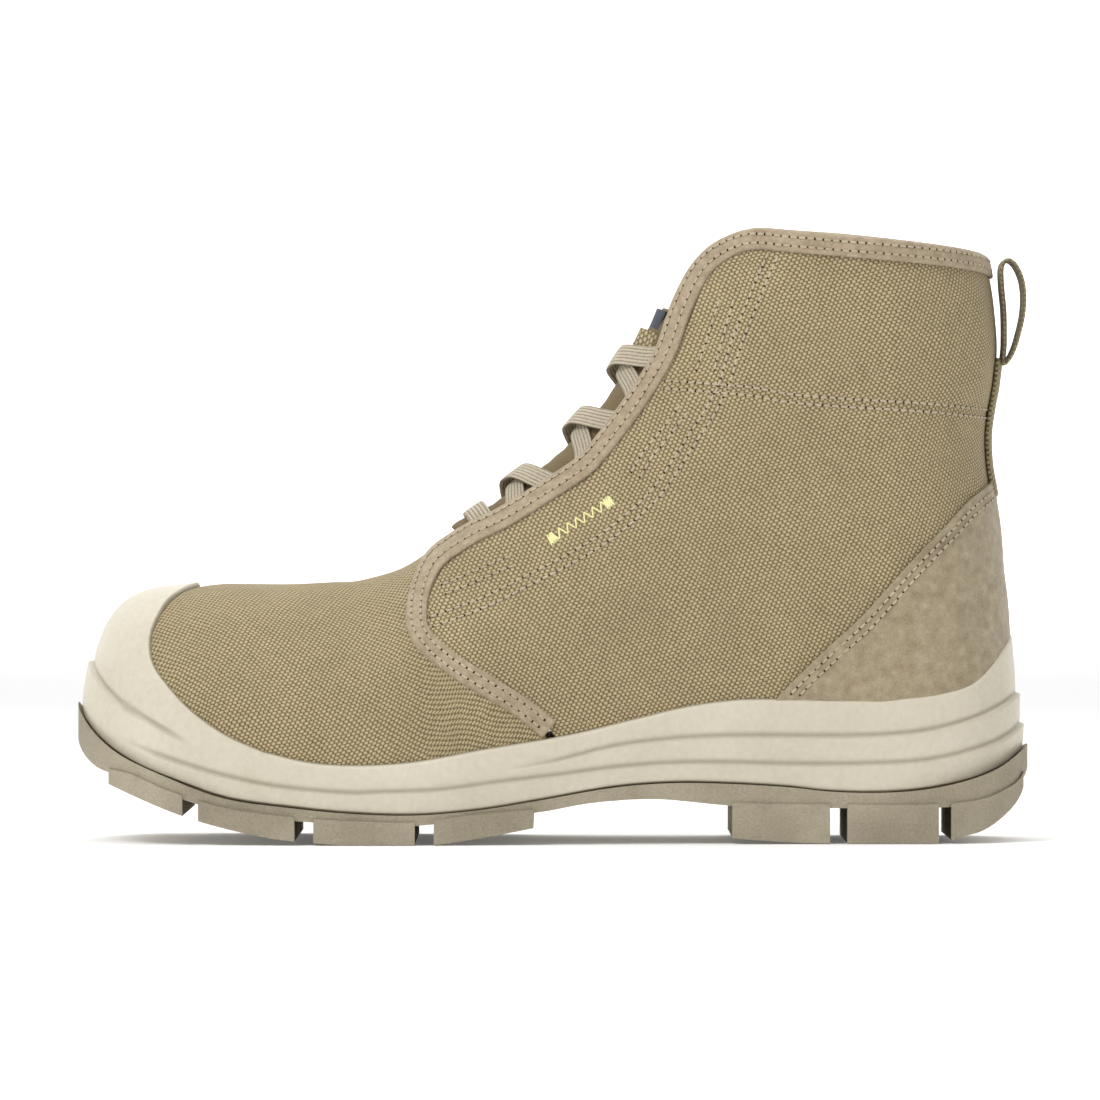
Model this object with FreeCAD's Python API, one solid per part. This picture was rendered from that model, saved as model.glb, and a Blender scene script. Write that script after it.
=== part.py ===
import FreeCAD, Part
import math
import os
from FreeCAD import Vector

# Steel toe work boot, left foot, about EU 42.5. Millimetres.
# +X runs from the toe to the heel, +Y to the inner side of the foot, +Z up.
# The origin is the middle of the footprint, on the floor.

# ---------------------------------------------------------------- driving dimensions
SOLE_LENGTH = 306.2
WALL_PROUD = 4.0          # the sole stands this far outside the upper's sides
CANVAS = 1.3              # thickness of the canvas
LINING = 0.8
TRIM = 1.2
SUEDE = 1.3
WEBBING = 1.3
GAP = 0.35                # clear space between neighbouring layers
CAP_STEEL = 1.8           # thickness of the steel toe cap
TRIM_WIDTH = 7.0
BACK_AXIS = 108.0         # upright axis that the heel curves round
BACK_TURN = 38.2          # unrolled length per radian round that axis
UNROLLED_BACK = BACK_AXIS + BACK_TURN * math.pi / 2
CORNER = 8.0              # rounding where the toe front meets the toe top
BUMPER_WRAP = 57.0        # degrees from upright that the toe bumper reaches down each side
LACE_WIDTH = 7.5
LACE = 1.1
COLLAR_BOTTOM = 146.0     # height where the collar padding begins
LOOP_ROOT = (144.6, 152.0)
TONGUE_HINGE = (-33.0, 90.0)

# ---------------------------------------------------------------- the last, seen from the side
# Pairs of (x, z): the crown line over the toe, instep and shaft front.
CROWN = [(-150, 80.0), (-118, 80.8), (-104, 82.2), (-80, 81.7), (-62, 83.4), (-50, 86.6), (-42, 90.8),
         (-36, 96.2), (-29, 102.8), (-18, 110.5), (-6, 119.5), (4, 128.0), (12, 137.0), (20, 148.5),
         (27, 160.5), (33, 174.5), (41, 196.0), (60, 250.0)]
# Pairs of (z, x): the front of the toe and the back of the heel.
TOE_FRONT = [(0, -133.0), (20, -143.0), (30, -147.0), (45, -148.7), (60, -145.6), (75, -142.3), (95, -138.0)]
HEEL_BACK = [(0, 140.0), (18, 145.5), (31, 148.0), (46, 147.3), (67, 145.5), (84, 144.2), (100, 142.7),
             (112, 141.0), (120, 139.6), (130, 139.2), (139, 140.4), (146, 141.7), (157, 142.7),
             (168, 142.0), (178, 140.7), (188, 138.4), (200, 135.5)]
# Pairs of (x, half width at the feather line) and (x, shift of the middle towards +Y).
PLAN_HALF = [(-150, 50.0), (-110, 50.5), (-70, 51.3), (-45, 50.0), (-10, 44.0), (25, 39.0), (60, 36.5),
             (100, 36.0), (150, 36.0)]
MIDDLE = [(-150, 3.1), (-110, 2.1), (-70, -0.6), (-30, -2.7), (10, -3.8), (50, -2.5), (100, -1.4), (150, -1.4)]
# Pairs of (x, z): where the pale rubber wall meets the outsole, and the floor inside that wall.
BORDER = [(-153, 45.0), (-149, 38.0), (-139, 29.0), (-122, 21.1), (-104, 14.6), (-82, 11.5), (-62, 9.7),
          (-43, 9.3), (-23, 10.9), (-4, 13.9), (19, 17.8), (38, 19.2), (56, 18.9), (75, 17.8), (88, 16.4),
          (104, 16.0), (118, 17.0), (132, 19.8), (143, 24.0), (153, 31.0)]
FLOOR = [(-153, 36.0), (-149.5, 31.0), (-146, 27.0), (-143, 24.8), (-139, 22.6), (-122, 18.5), (-104, 14.2),
         (-82, 11.3), (-62, 9.7), (-43, 9.3), (-23, 10.9), (-4, 13.9), (19, 17.0), (38, 18.2), (56, 18.4),
         (75, 17.4), (88, 16.4), (104, 16.0), (118, 16.6), (132, 17.2), (144, 17.8), (149, 21.0), (153, 25.0)]
# Pairs of (x, z): the top edge of the pale rubber wall.
WALL_TOP = [(-153, 68.0), (-146, 60.0), (-142, 53.0), (-136.5, 46.5), (-129, 40.6), (-118, 34.0), (-104, 31.6),
            (-91, 29.3), (-76, 26.0), (-60, 25.2), (-43, 26.4), (-23, 30.0), (6, 34.9), (25, 39.4),
            (44, 43.8), (62, 45.8), (97, 45.4), (110, 46.0), (127, 48.4), (135, 52.2), (140, 57.5),
            (143.5, 62.3), (145.8, 66.5)]
# Pairs of (x, z): the outsole's underside between its lugs, and the bottom of its lugs.
UNDERSIDE = [(-153.1, 38.7), (-152.3, 32.0), (-149, 27.0), (-143, 23.0), (-134, 21.0), (-122, 16.0),
             (-104, 10.6), (-82, 7.6), (-62, 6.4), (-43, 6.0), (-23, 8.6), (-4, 10.2), (12, 13.0),
             (32, 14.2), (52, 12.4), (62, 11.6), (90, 11.2), (118, 11.2), (135, 12.4), (144, 15.5),
             (150, 20.0), (153.1, 29.0)]
TREAD = [(-143, 20.0), (-128, 13.6), (-117, 9.4), (-104, 5.6), (-88, 2.3), (-72, 0.8), (-56, 0.0), (-38, 0.4),
         (-22, 2.6), (-6, 5.6), (12, 9.0), (57, 2.2), (72, 1.0), (88, 0.4), (104, 0.0), (122, 0.2),
         (129, 2.2), (137, 4.4), (144, 9.0), (149, 14.5), (152.5, 23.0)]
# Lug spans along the sole, from toe to heel, and the channels cut across them.
LUGS = [(-141, -117), (-112, -81.5), (-75.5, -43.5), (-37.5, -6), (57, 88), (93.5, 122.5), (126.5, 150.5)]
# The seam between the vamp and the quarters, from the sole up to the crown, as (x, z).
SEAM = [(-19, 17), (-19, 34), (-21, 46), (-28, 53), (-37, 60.5), (-42, 67), (-43, 74), (-42, 82), (-39.5, 88.5),
        (-37.0, 93.0)]
# The front edge of the trim, from the wall up the throat to the collar, as (x, z).
FACING_EDGE = [(-3.5, 34.4), (-12, 40.6), (-23.5, 47.4), (-34, 54), (-42, 60.5), (-46.2, 66.8), (-46.9, 73),
               (-45.6, 81), (-42.6, 88.5), (-39.2, 93.2), (-35, 96.6), (-28, 101), (-18, 106), (-8, 112),
               (0.5, 117.5), (8.5, 123.2), (15, 130.8), (21.5, 139.5), (28, 149), (33, 158), (36.2, 167),
               (39.6, 175.5), (44.2, 184), (50, 190), (57, 193.8), (64, 195.4)]
COLLAR_BACK = 187.0       # height of the top line at the back
BUMPER_EDGE = [(-103.8, 35.5), (-114, 42.5), (-122, 50.5), (-127, 58), (-127.6, 66), (-124.5, 73.5),
               (-119, 79.0), (-113.6, 80.6)]
COUNTER_EDGE = [(75, 50.0), (87.5, 62.1), (98, 71.7), (112, 87.0), (126, 99.5), (141, 109.5), (168, 116.5)]


# ---------------------------------------------------------------- curves and the upper's surface
def along(keys, at):
    """A smooth curve through pairs, straight past its two ends."""
    slopes = []
    for i in range(len(keys)):
        a = keys[max(i - 1, 0)]
        b = keys[min(i + 1, len(keys) - 1)]
        slopes.append((b[1] - a[1]) / (b[0] - a[0]))
    if at <= keys[0][0]:
        return keys[0][1] + slopes[0] * (at - keys[0][0])
    if at >= keys[-1][0]:
        return keys[-1][1] + slopes[-1] * (at - keys[-1][0])
    i = max(j for j in range(len(keys) - 1) if keys[j][0] <= at)
    span = keys[i + 1][0] - keys[i][0]
    t = (at - keys[i][0]) / span
    rise = t * t * (3 - 2 * t)
    start = t * (1 - t) ** 2 * span * slopes[i]
    end = t * t * (1 - t) * span * slopes[i + 1]
    return keys[i][1] + rise * (keys[i + 1][1] - keys[i][1]) + start - end


def tabulated(keys, low, high, step=0.5):
    """The same curve as a quick lookup."""
    values = [along(keys, low + step * i) for i in range(int((high - low) / step) + 2)]

    def look(at):
        place = min(max((at - low) / step, 0.0), len(values) - 1.001)
        i = int(place)
        return values[i] + (place - i) * (values[i + 1] - values[i])
    return look


def ease(value, start, end):
    t = min(max((value - start) / (end - start), 0.0), 1.0)
    return t * t * (3 - 2 * t)


crown_z = tabulated(CROWN, -220, 260)
toe_x = tabulated(TOE_FRONT, -60, 260)
heel_x = tabulated(HEEL_BACK, -60, 260)
plan_half = tabulated(PLAN_HALF, -220, 260)
middle_y = tabulated(MIDDLE, -220, 260)
border_z = tabulated(BORDER, -160, 160)
floor_z = tabulated(FLOOR, -160, 160)
wall_top_z = tabulated(WALL_TOP, -160, 160)


def closeness(x, z):
    """Terms of the section's superellipse: one for the front and top, one for the back."""
    slope = (crown_z(x + 2) - crown_z(x - 2)) / 4
    under = (crown_z(x) - z) / math.sqrt(1 + slope * slope)
    behind = x - toe_x(z)
    front = -CORNER * math.log(math.exp(-under / CORNER) + math.exp(-behind / CORNER))
    power = 2.4 - 0.3 * ease(x, -120, -40)
    round_front = 46 + 4 * ease(x, -100, -20)
    round_back = 38 + 8 * ease(z, 60, 140)
    front_term = max(0.0, 1 - front / round_front) ** power
    back_term = max(0.0, 1 - (heel_x(z) - x) / round_back) ** power
    return front_term + back_term, power


def side_half(x, z):
    """Half width before the rounding towards the silhouette."""
    upper = 36 + 0.04 * (z - 90)
    return plan_half(x) + (upper - plan_half(x)) * ease(z, 40, 110)


def half_width(x, z):
    terms, power = closeness(x, z)
    return side_half(x, z) * max(0.0, 1 - terms) ** (1 / power)


def level(p):
    """Negative inside the upper, zero on its canvas, positive outside."""
    terms, power = closeness(p.x, p.z)
    return (abs(p.y - middle_y(p.x)) / side_half(p.x, p.z)) ** power + terms - 1


def outward(p):
    step = 0.1
    out = Vector(level(p + Vector(step, 0, 0)) - level(p - Vector(step, 0, 0)),
                 level(p + Vector(0, step, 0)) - level(p - Vector(0, step, 0)),
                 level(p + Vector(0, 0, step)) - level(p - Vector(0, 0, step)))
    return out.normalize()


def cast(start, direction):
    """The point where a ray from inside meets the canvas."""
    near = 0.0
    far = 8.0
    while level(start + direction * far) < 0 and far < 260:
        far += 8.0
    for _ in range(24):
        mid = (near + far) / 2
        if level(start + direction * mid) < 0:
            near = mid
        else:
            far = mid
    return start + direction * near


def on_side(x, z, side):
    """The point of the canvas at (x, z), side -1 for the outer side and +1 for the inner side."""
    return Vector(x, middle_y(x) + side * half_width(x, z), z)


def unrolled(s, z, side):
    """The point at an unrolled length s along one side, which turns round the heel past BACK_AXIS."""
    if s <= BACK_AXIS:
        return on_side(s, z, side)
    turn = min((s - BACK_AXIS) / BACK_TURN, math.pi / 2)
    start = Vector(BACK_AXIS, middle_y(BACK_AXIS), z)
    return cast(start, Vector(math.sin(turn), side * math.cos(turn), 0))


def lining_depth(p):
    """How far the lining's outer face lies inside the canvas."""
    cap = (CAP_STEEL + 0.5) * (1 - ease(p.x, -96, -84))
    collar = 5.2 * ease(p.z, 136, 146) * ease(p.x - (p.z - 146) * 0.35, 30, 42)
    heel = 1.6 * ease(p.x, 60, 72) * (1 - ease(p.z, 96, 108))
    return CANVAS + 0.5 + cap + collar + heel


# ---------------------------------------------------------------- solids from grids of points
def grid_face(rows):
    surface = Part.BSplineSurface()
    surface.interpolate(rows)
    return surface


def closed(solid):
    if solid.Volume < 0:
        solid.reverse()
    return solid


def thick(rows, low, high):
    """A solid between two faces, low and high millimetres outside a grid of canvas points."""
    depth_low = low if callable(low) else (lambda p: low)
    depth_high = high if callable(high) else (lambda p: high)
    inner = []
    outer = []
    for row in rows:
        normals = [outward(p) for p in row]
        inner.append([p + n * depth_low(p) for p, n in zip(row, normals)])
        outer.append([p + n * depth_high(p) for p, n in zip(row, normals)])
    return between(inner, outer)


def between(inner, outer):
    a = grid_face(inner)
    b = grid_face(outer)
    u0, u1, v0, v1 = a.bounds()
    faces = [a.toShape(), b.toShape()]
    for iso in (lambda s: s.uIso(u0), lambda s: s.uIso(u1), lambda s: s.vIso(v0), lambda s: s.vIso(v1)):
        faces.append(Part.makeRuledSurface(iso(a).toShape(), iso(b).toShape()))
    shell = Part.Shell(faces)
    shell.sewShape()
    return closed(Part.Solid(shell))


def resample(outline, count, start=0.0, end=1.0):
    """Points evenly spaced along a smooth line through an outline."""
    curve = Part.BSplineCurve()
    curve.interpolate([Vector(x, 0, z) for x, z in outline])
    edge = curve.toShape()
    points = edge.discretize(401)
    first = int(round(start * 400))
    last = int(round(end * 400))
    picks = [first + (last - first) * i / (count - 1) for i in range(count)]
    return [(points[int(round(k))].x, points[int(round(k))].z) for k in picks]


def inset(line, distance):
    """The same open line moved to its right by a distance, or by a distance per point."""
    moved = []
    for i, (x, z) in enumerate(line):
        ax, az = line[max(i - 1, 0)]
        bx, bz = line[min(i + 1, len(line) - 1)]
        length = math.hypot(bx - ax, bz - az)
        step = distance(i) if callable(distance) else distance
        moved.append((x + (bz - az) / length * step, z - (bx - ax) / length * step))
    return moved


def side_rows(front, back, side, columns):
    """Rows from a front line to a back line, both as (s, z), on one side."""
    rows = []
    for (fs, fz), (bs, bz) in zip(front, back):
        row = []
        for i in range(columns):
            t = (i / (columns - 1)) ** 1.3
            row.append(unrolled(fs + (bs - fs) * t, fz + (bz - fz) * t, side))
        rows.append(row)
    return rows


def wrapped_rows(front, back_heights, columns, back_s=UNROLLED_BACK):
    """Rows from the outer side's front line, round the heel, to the inner side's."""
    rows = []
    for (fs, fz), bz in zip(front, back_heights):
        row = []
        for i in range(columns):
            t = 2 * i / (columns - 1) - 1
            z = bz + (fz - bz) * t * t
            row.append(unrolled(back_s + (fs - back_s) * abs(t), z, -1 if t < 0 else 1))
        rows.append(row)
    return rows


def fan_ray(x, z, lean, angle):
    """A ray across the foot from (x, z), in a plane that leans towards the toe."""
    up = Vector(-math.sin(lean), 0, math.cos(lean))
    return cast(Vector(x, middle_y(x), z), up * math.cos(angle) + Vector(0, math.sin(angle), 0))


def fan_edge(outline, x, z):
    """For an outline on the side, the lean of each ray angle from (x, z) that meets it."""
    pairs = []
    for ox, oz in outline:
        reach = math.hypot(ox - x, oz - z)
        angle = math.atan2(half_width(ox, oz), reach)
        pairs.append((angle, math.atan2(x - ox, oz - z)))
    pairs.sort()
    pairs[0] = (0.0, pairs[0][1])
    return lambda angle: along(pairs, min(abs(angle), pairs[-1][0]))


def arch_rows(rear, rear_lean, front, front_lean, widest, count, columns):
    """Rows over the foot from a rear origin (x, z) to a front one."""
    rows = []
    for i in range(count):
        t = i / (count - 1)
        x = rear[0] + (front[0] - rear[0]) * t
        z = rear[1] + (front[1] - rear[1]) * t
        row = []
        for j in range(columns):
            angle = widest * (2 * j / (columns - 1) - 1)
            lean = rear_lean(angle) + (front_lean - rear_lean(angle)) * t
            row.append(fan_ray(x, z, lean, angle))
        rows.append(row)
    return rows


# ---------------------------------------------------------------- flat work: soles and boards
def footprint(grow, count=44, toe_back=0.0, heel_back=0.0):
    """The closed plan outline of the sole, grown outwards from the upper's feather line."""
    toe = -SOLE_LENGTH / 2 + toe_back
    heel = SOLE_LENGTH / 2 - heel_back
    points = []
    for i in range(count):
        turn = 2 * math.pi * i / count
        x = (toe + heel) / 2 - (heel - toe) / 2 * math.cos(turn)
        front = max(0.0, 1 - (x - toe) / 50) ** 2.4
        back = max(0.0, 1 - (heel - x) / 40) ** 2.2
        half = (plan_half(x) + grow) * max(0.0, 1 - front - back) ** (1 / 2.3)
        points.append(Vector(x, middle_y(x) + (half if math.sin(turn) >= 0 else -half), 0))
    return points


def prism(points, low=-20.0, high=120.0):
    curve = Part.BSplineCurve()
    curve.interpolate([p + Vector(0, 0, low) for p in points], PeriodicFlag=True)
    return Part.Face(Part.Wire(curve.toShape())).extrude(Vector(0, 0, high - low))


def side_band(low, high, x0, x1, count=26):
    """The space between two height curves, right across the boot."""
    stations = [x0 + (x1 - x0) * i / (count - 1) for i in range(count)]
    edges = []
    for height in (low, high):
        curve = Part.BSplineCurve()
        curve.interpolate([Vector(x, -80, height(x)) for x in stations])
        edges.append(curve.toShape())
    ends = [Part.makeLine(Vector(x, -80, low(x)), Vector(x, -80, high(x))) for x in (x0, x1)]
    face = Part.Face(Part.Wire(Part.__sortEdges__([edges[0], ends[1], edges[1], ends[0]])))
    return face.extrude(Vector(0, 160, 0))


def slab(x0, x1, z0=-20, z1=120, y0=-80, y1=80):
    return Part.makeBox(x1 - x0, y1 - y0, z1 - z0, Vector(x0, y0, z0))


def biggest(shape):
    return max(shape.Solids, key=lambda s: s.Volume)


def outsole():
    underside = tabulated(UNDERSIDE, -160, 160)
    tread = tabulated(TREAD, -160, 160)
    whole = prism(footprint(WALL_PROUD + 1.2))
    waisted = prism(footprint(WALL_PROUD + 0.2, toe_back=0.6, heel_back=0.6))
    reach = SOLE_LENGTH / 2 - 0.1
    body = side_band(underside, border_z, -reach, reach, 60).common(waisted)
    for start, end in LUGS:
        lug = side_band(lambda x: tread(x) - 0.4, lambda x: underside(x) + 1.2, start, end, 9).common(whole)
        body = body.fuse(lug)
    pocket = prism(footprint(WALL_PROUD - 1.6, toe_back=2.4, heel_back=2.4))
    pocket = pocket.common(side_band(floor_z, lambda x: 90.0, -reach, reach, 50))
    body = body.cut(pocket)
    for y in (-15, 15):
        body = body.cut(slab(-114, 118, -5, 6.5, y - 2.5, y + 2.5))
    body = body.cut(slab(-160, 160, -20, 0))
    return biggest(body.removeSplitter())


def wall_section(x_plan, y_plan, side):
    """Corners of the rubber wall above one point of the footprint's outline."""
    low = floor_z(x_plan) + 0.15
    base = Vector(x_plan, y_plan, 0)
    centre_x = min(max(x_plan, -100.0), BACK_AXIS)
    start = Vector(centre_x, middle_y(centre_x), 0)
    away = Vector(base.x - start.x, base.y - start.y, 0).normalize()
    if centre_x == x_plan:
        away = Vector(0, side, 0)
    top = wall_top_z(x_plan)
    for _ in range(4):
        top = wall_top_z(cast(start + Vector(0, 0, top), away).x)
    inner = []
    outer = []
    for share in (0.0, 0.3, 0.65, 1.0):
        z = low + (top - low) * share
        skin = cast(start + Vector(0, 0, z), away)
        normal = outward(skin)
        normal = Vector(normal.x, normal.y, 0).normalize()
        inner.append(skin + normal * (GAP + 0.5 * (1 - ease(skin.x, -60, -30))))
        radius = (base - start).dot(away)
        reach = (skin - start).dot(away)
        rim = 2.2
        share_out = ease(z, low, top)
        grown = radius + (reach + rim - radius) * share_out
        outer.append(start + away * max(grown, reach + 1.6) + Vector(0, 0, z))
    return inner + outer[::-1]


def foxing():
    """The rubber wall right round the boot, its outer half and inner half sewn at the toe and the heel."""
    outline = footprint(WALL_PROUD - 2.0, 72, toe_back=2.8, heel_back=2.8)
    half = len(outline) // 2
    faces = []
    for side, points in ((1, outline[:half + 1]), (-1, outline[half:] + outline[:1])):
        sections = [wall_section(p.x, p.y, side) for p in points]
        rails = []
        for corner in range(len(sections[0])):
            rail = Part.BSplineCurve()
            rail.interpolate([section[corner] for section in sections])
            rails.append(rail.toShape())
        for i, rail in enumerate(rails):
            faces.append(Part.makeRuledSurface(rail, rails[(i + 1) % len(rails)]))
    shell = Part.Shell(faces)
    shell.sewShape()
    return closed(Part.Solid(shell))


def board(grow, low, high, x0, x1):
    """A plate that follows the foot's floor between two heights over it."""
    plate = side_band(lambda x: floor_z(x) + low(x), lambda x: floor_z(x) + high(x), x0, x1, 34)
    return biggest(plate.common(prism(footprint(grow, toe_back=11.5, heel_back=12.0))))


def filler_top(x):
    return 3.6 + 3.6 * ease(x, -20, 50)


def shank(grow, rise):
    """The stiffening plate let into the top of the filler, or with rise and grow its slot."""
    plate = side_band(lambda x: floor_z(x) + filler_top(x) - 1.5 - grow,
                      lambda x: floor_z(x) + filler_top(x) - 0.1 + rise, -48 - grow, 42 + grow, 20)
    return biggest(plate.common(slab(-60, 60, y0=-12.5 - grow, y1=5.5 + grow)))


# ---------------------------------------------------------------- upper
def quarter_front():
    """The quarter's front line: the seam under the trim, then just inside the throat edge."""
    return inset(resample(SEAM[:9] + FACING_EDGE[10:], 33), lambda i: 0.3 + 0.9 * ease(i, 11, 16))


def quarter_back(count, gap):
    bottom = 24.0
    return [(UNROLLED_BACK - gap, bottom + (COLLAR_BACK - bottom) * (i / (count - 1)) ** 1.1)
            for i in range(count)]


def quarter(side, low, high):
    front = quarter_front()
    return thick(side_rows(front, quarter_back(len(front), 0.4), side, 27), low, high)


def trim_line(count):
    """The trim's outer edge: up the facing, then back along the top line to the back strap."""
    top = []
    for i in range(1, 8):
        t = i / 7
        top.append((64 + (UNROLLED_BACK - 8 - 64) * t, 195.4 + (COLLAR_BACK + 0.4 - 195.4) * t))
    return resample(FACING_EDGE, count) + top


def edge_trim(side):
    outer = trim_line(38)
    inner = inset(outer, TRIM_WIDTH)
    rows = []
    for (ax, az), (bx, bz) in zip(outer, inner):
        rows.append([unrolled(ax + (bx - ax) * t / 4, az + (bz - az) * t / 4, side) for t in range(5)])
    return thick(rows, 0.5, 0.5 + TRIM)


def facing_stay(side):
    """The strip behind the throat edge, between the canvas and the lining's front margin."""
    line = resample(FACING_EDGE, 30)[14:]
    outer = inset(line, 1.4)
    inner = inset(line, 9.0)
    rows = []
    for (ax, az), (bx, bz) in zip(outer, inner):
        rows.append([on_side(ax + (bx - ax) * t / 4, az + (bz - az) * t / 4, side) for t in range(5)])
    return thick(rows, -CANVAS - GAP - 0.8, -CANVAS - GAP)


def toe_bumper():
    """Rubber over the toe, from its edge on the vamp down to the top of the rubber wall."""
    origin = (-112.0, 12.0)
    rear = fan_edge(BUMPER_EDGE, *origin)
    low = fan_edge([(x, z + 2.4) for x, z in WALL_TOP[1:7]], *origin)
    rows = []
    for i in range(11):
        t = i / 10
        row = []
        for j in range(25):
            angle = math.radians(BUMPER_WRAP) * (2 * j / 24 - 1)
            row.append(fan_ray(*origin, rear(angle) * (1 - t) + low(angle) * t, angle))
        rows.append(row)
    return thick(rows, 0.7, 2.7)


def quarter_lining(side):
    line = resample(SEAM[:9] + FACING_EDGE[10:], 33)
    front = inset(line, lambda i: 0.6 + 9.8 * ease(i, 10, 17))
    back = quarter_back(len(front), 0.6)
    rows = side_rows(front, back, side, 27)
    return thick(rows, lambda p: -lining_depth(p) - LINING, lambda p: -lining_depth(p))


def collar_padding():
    """A padded band round the ankle opening, from one facing round the heel to the other."""
    heights = [147.5 + 38 * i / 6 for i in range(7)]
    front = [(53 + (z - 147.5) * 0.36, z + 6.0 * (z - 147.5) / 38) for z in heights]
    rows = wrapped_rows(front, [z - 2.0 * (z - 147.5) / 38 for z in heights], 29)
    return thick(rows, lambda p: -lining_depth(p) + 0.3, -CANVAS - GAP)


def heel_counter():
    """Suede from the top of the rubber wall up to a slanted edge, round the heel."""
    rows = []
    for i in range(9):
        row = []
        for j in range(37):
            t = 2 * j / 36 - 1
            s = UNROLLED_BACK - abs(t) * (UNROLLED_BACK - 76)
            x = s if s < BACK_AXIS else BACK_AXIS + BACK_TURN * math.sin((s - BACK_AXIS) / BACK_TURN)
            low = wall_top_z(x) + 0.6
            row.append(unrolled(s, low + (along(COUNTER_EDGE, s) - low) * i / 8, -1 if t < 0 else 1))
        rows.append(row)
    return thick(rows, GAP, GAP + SUEDE)


def heel_stiffener():
    heights = [27.0 + 66.0 * i / 6 for i in range(7)]
    front = [(74 + 0.42 * (z - 27.0), z) for z in heights]
    return thick(wrapped_rows(front, heights, 25), -CANVAS - GAP - 1.3, -CANVAS - GAP)


def strap_rows(z0, z1, count, half):
    rows = []
    for i in range(count):
        z = z0 + (z1 - z0) * i / (count - 1)
        row = []
        for j in range(5):
            t = j / 2 - 1
            row.append(unrolled(UNROLLED_BACK - abs(t) * half, z, -1 if t < 0 else 1))
        rows.append(row)
    return rows


def loop_points(outline):
    curve = Part.BSplineCurve()
    curve.interpolate([Vector(x, 0, z) for x, z in outline], PeriodicFlag=True)
    return curve.toShape().discretize(49)


def pull_loop():
    """Webbing sewn on at its foot: up, over and down again, with room for a finger."""
    outline = [(145.0, 153.0), (150.4, 160.0), (152.1, 170.0), (151.7, 179.0), (148.6, 185.2), (145.6, 186.7),
               (143.4, 184.4), (143.6, 178.5), (144.9, 168.0), (145.0, 158.0)]
    hole = []
    for i, (x, z) in enumerate(outline):
        ax, az = outline[i - 1]
        bx, bz = outline[(i + 1) % len(outline)]
        length = math.hypot(bx - ax, bz - az)
        hole.append((x - (bz - az) / length * WEBBING, z + (bx - ax) / length * WEBBING))
    outer = loop_points(outline)
    inner = loop_points(hole)
    faces = []
    for first in (0, 24):
        rails = []
        for points, y in ((outer, -10), (outer, 10), (inner, 10), (inner, -10)):
            rail = Part.BSplineCurve()
            rail.interpolate([Vector(p.x, y, p.z) for p in points[first:first + 25]])
            rails.append(rail.toShape())
        for i, rail in enumerate(rails):
            faces.append(Part.makeRuledSurface(rail, rails[(i + 1) % 4]))
    shell = Part.Shell(faces)
    shell.sewShape()
    return closed(Part.Solid(shell))


# ---------------------------------------------------------------- tongue and lace
def tongue_rows(z_share, columns, half, count=15):
    """Rows up the tongue, as points of the canvas surface either side of the crown."""
    rows = []
    for i in range(count):
        t = z_share[0] + (z_share[1] - z_share[0]) * i / (count - 1)
        x = -33.5 + 65.5 * t
        rows.append([crown_offset(x, half * (2 * j / (columns - 1) - 1)) for j in range(columns)])
    return rows


def crown_offset(x, y):
    """The canvas point beside the crown at x, at y from the middle, square to the crown line."""
    slope = (crown_z(x + 2) - crown_z(x - 2)) / 4
    inward = Vector(slope, 0, -1) / math.sqrt(1 + slope * slope)
    start = Vector(x, middle_y(x), crown_z(x)) + inward * 34
    out = inward * -1
    angle = math.atan2(abs(y), 34 - abs(y) * 0.3)
    direction = out * math.cos(angle) + Vector(0, 1 if y > 0 else -1, 0) * math.sin(angle)
    return cast(start, direction.normalize())


def tongue_depth(p):
    """How far the tongue's face lies inside the canvas: less at its middle than under the facings."""
    side = abs(p.y - middle_y(p.x))
    return -2.8 - 4.4 * ease(side, 4, 17)


def tongue_layer(low, high, z_share=(0.02, 1.0), half=23.0, columns=13):
    rows = tongue_rows(z_share, columns, half)
    return thick(rows, lambda p: tongue_depth(p) + low, lambda p: tongue_depth(p) + high)


def ribbon(path, width, thickness):
    """A flat band through (point, outward direction, width share) stations."""
    wires = []
    for i, (point, out, share) in enumerate(path):
        tangent = (path[min(i + 1, len(path) - 1)][0] - path[max(i - 1, 0)][0]).normalize()
        across = tangent.cross(out).normalize()
        up = across.cross(tangent).normalize()
        a = across * (width * share / 2)
        b = up * (thickness / 2)
        corners = [point + a + b, point - a + b, point - a - b, point + a - b]
        wires.append(Part.makePolygon(corners + corners[:1]))
    return closed(Part.makeLoft(wires, True, False))


def lace_strand(stations, side, over, reach=19.5):
    """One crossing from under a facing to under the other, over or under its partner."""
    x0, x1 = stations
    path = []
    count = 17
    for i in range(count):
        t = i / (count - 1)
        y = reach * (1 - 2 * t) * side
        p = crown_offset(x0 + (x1 - x0) * t, y)
        bump = 1 - ease(abs(y), 2, 15)
        lift = -4.7 + (3.8 + 1.7 * over) * bump
        out = outward(p)
        path.append((p + out * lift, out, 1.0 - 0.35 * ease(abs(y), 13, 19)))
    return ribbon(path, LACE_WIDTH, LACE)


def lace():
    """Three crossings of two strands each, and the bar that joins them at the foot of the throat."""
    strands = [lace_strand((-25.0, -25.0), -1, 0)]
    for x0, x1 in ((-19.0, -3.0), (3.0, 15.0)):
        strands.append(lace_strand((x0, x1), -1, 0))
        strands.append(lace_strand((x0, x1), 1, 1))
    return Part.makeCompound(strands)


def lace_top():
    return Part.makeCompound([lace_strand((18.5, 27.0), -1, 0, 17.6), lace_strand((18.5, 27.0), 1, 1, 17.6)])


def keeper():
    """A canvas loop sewn to the tongue at both ends, above the top crossing."""
    rows = tongue_rows((0.93, 0.97), 13, 10.0, 4)

    def lift(p):
        return tongue_depth(p) + 0.5 + 1.9 * (1 - ease(abs(p.y - middle_y(p.x)), 1.5, 7.5))
    return thick(rows, lift, lambda p: lift(p) + 0.8)


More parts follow.
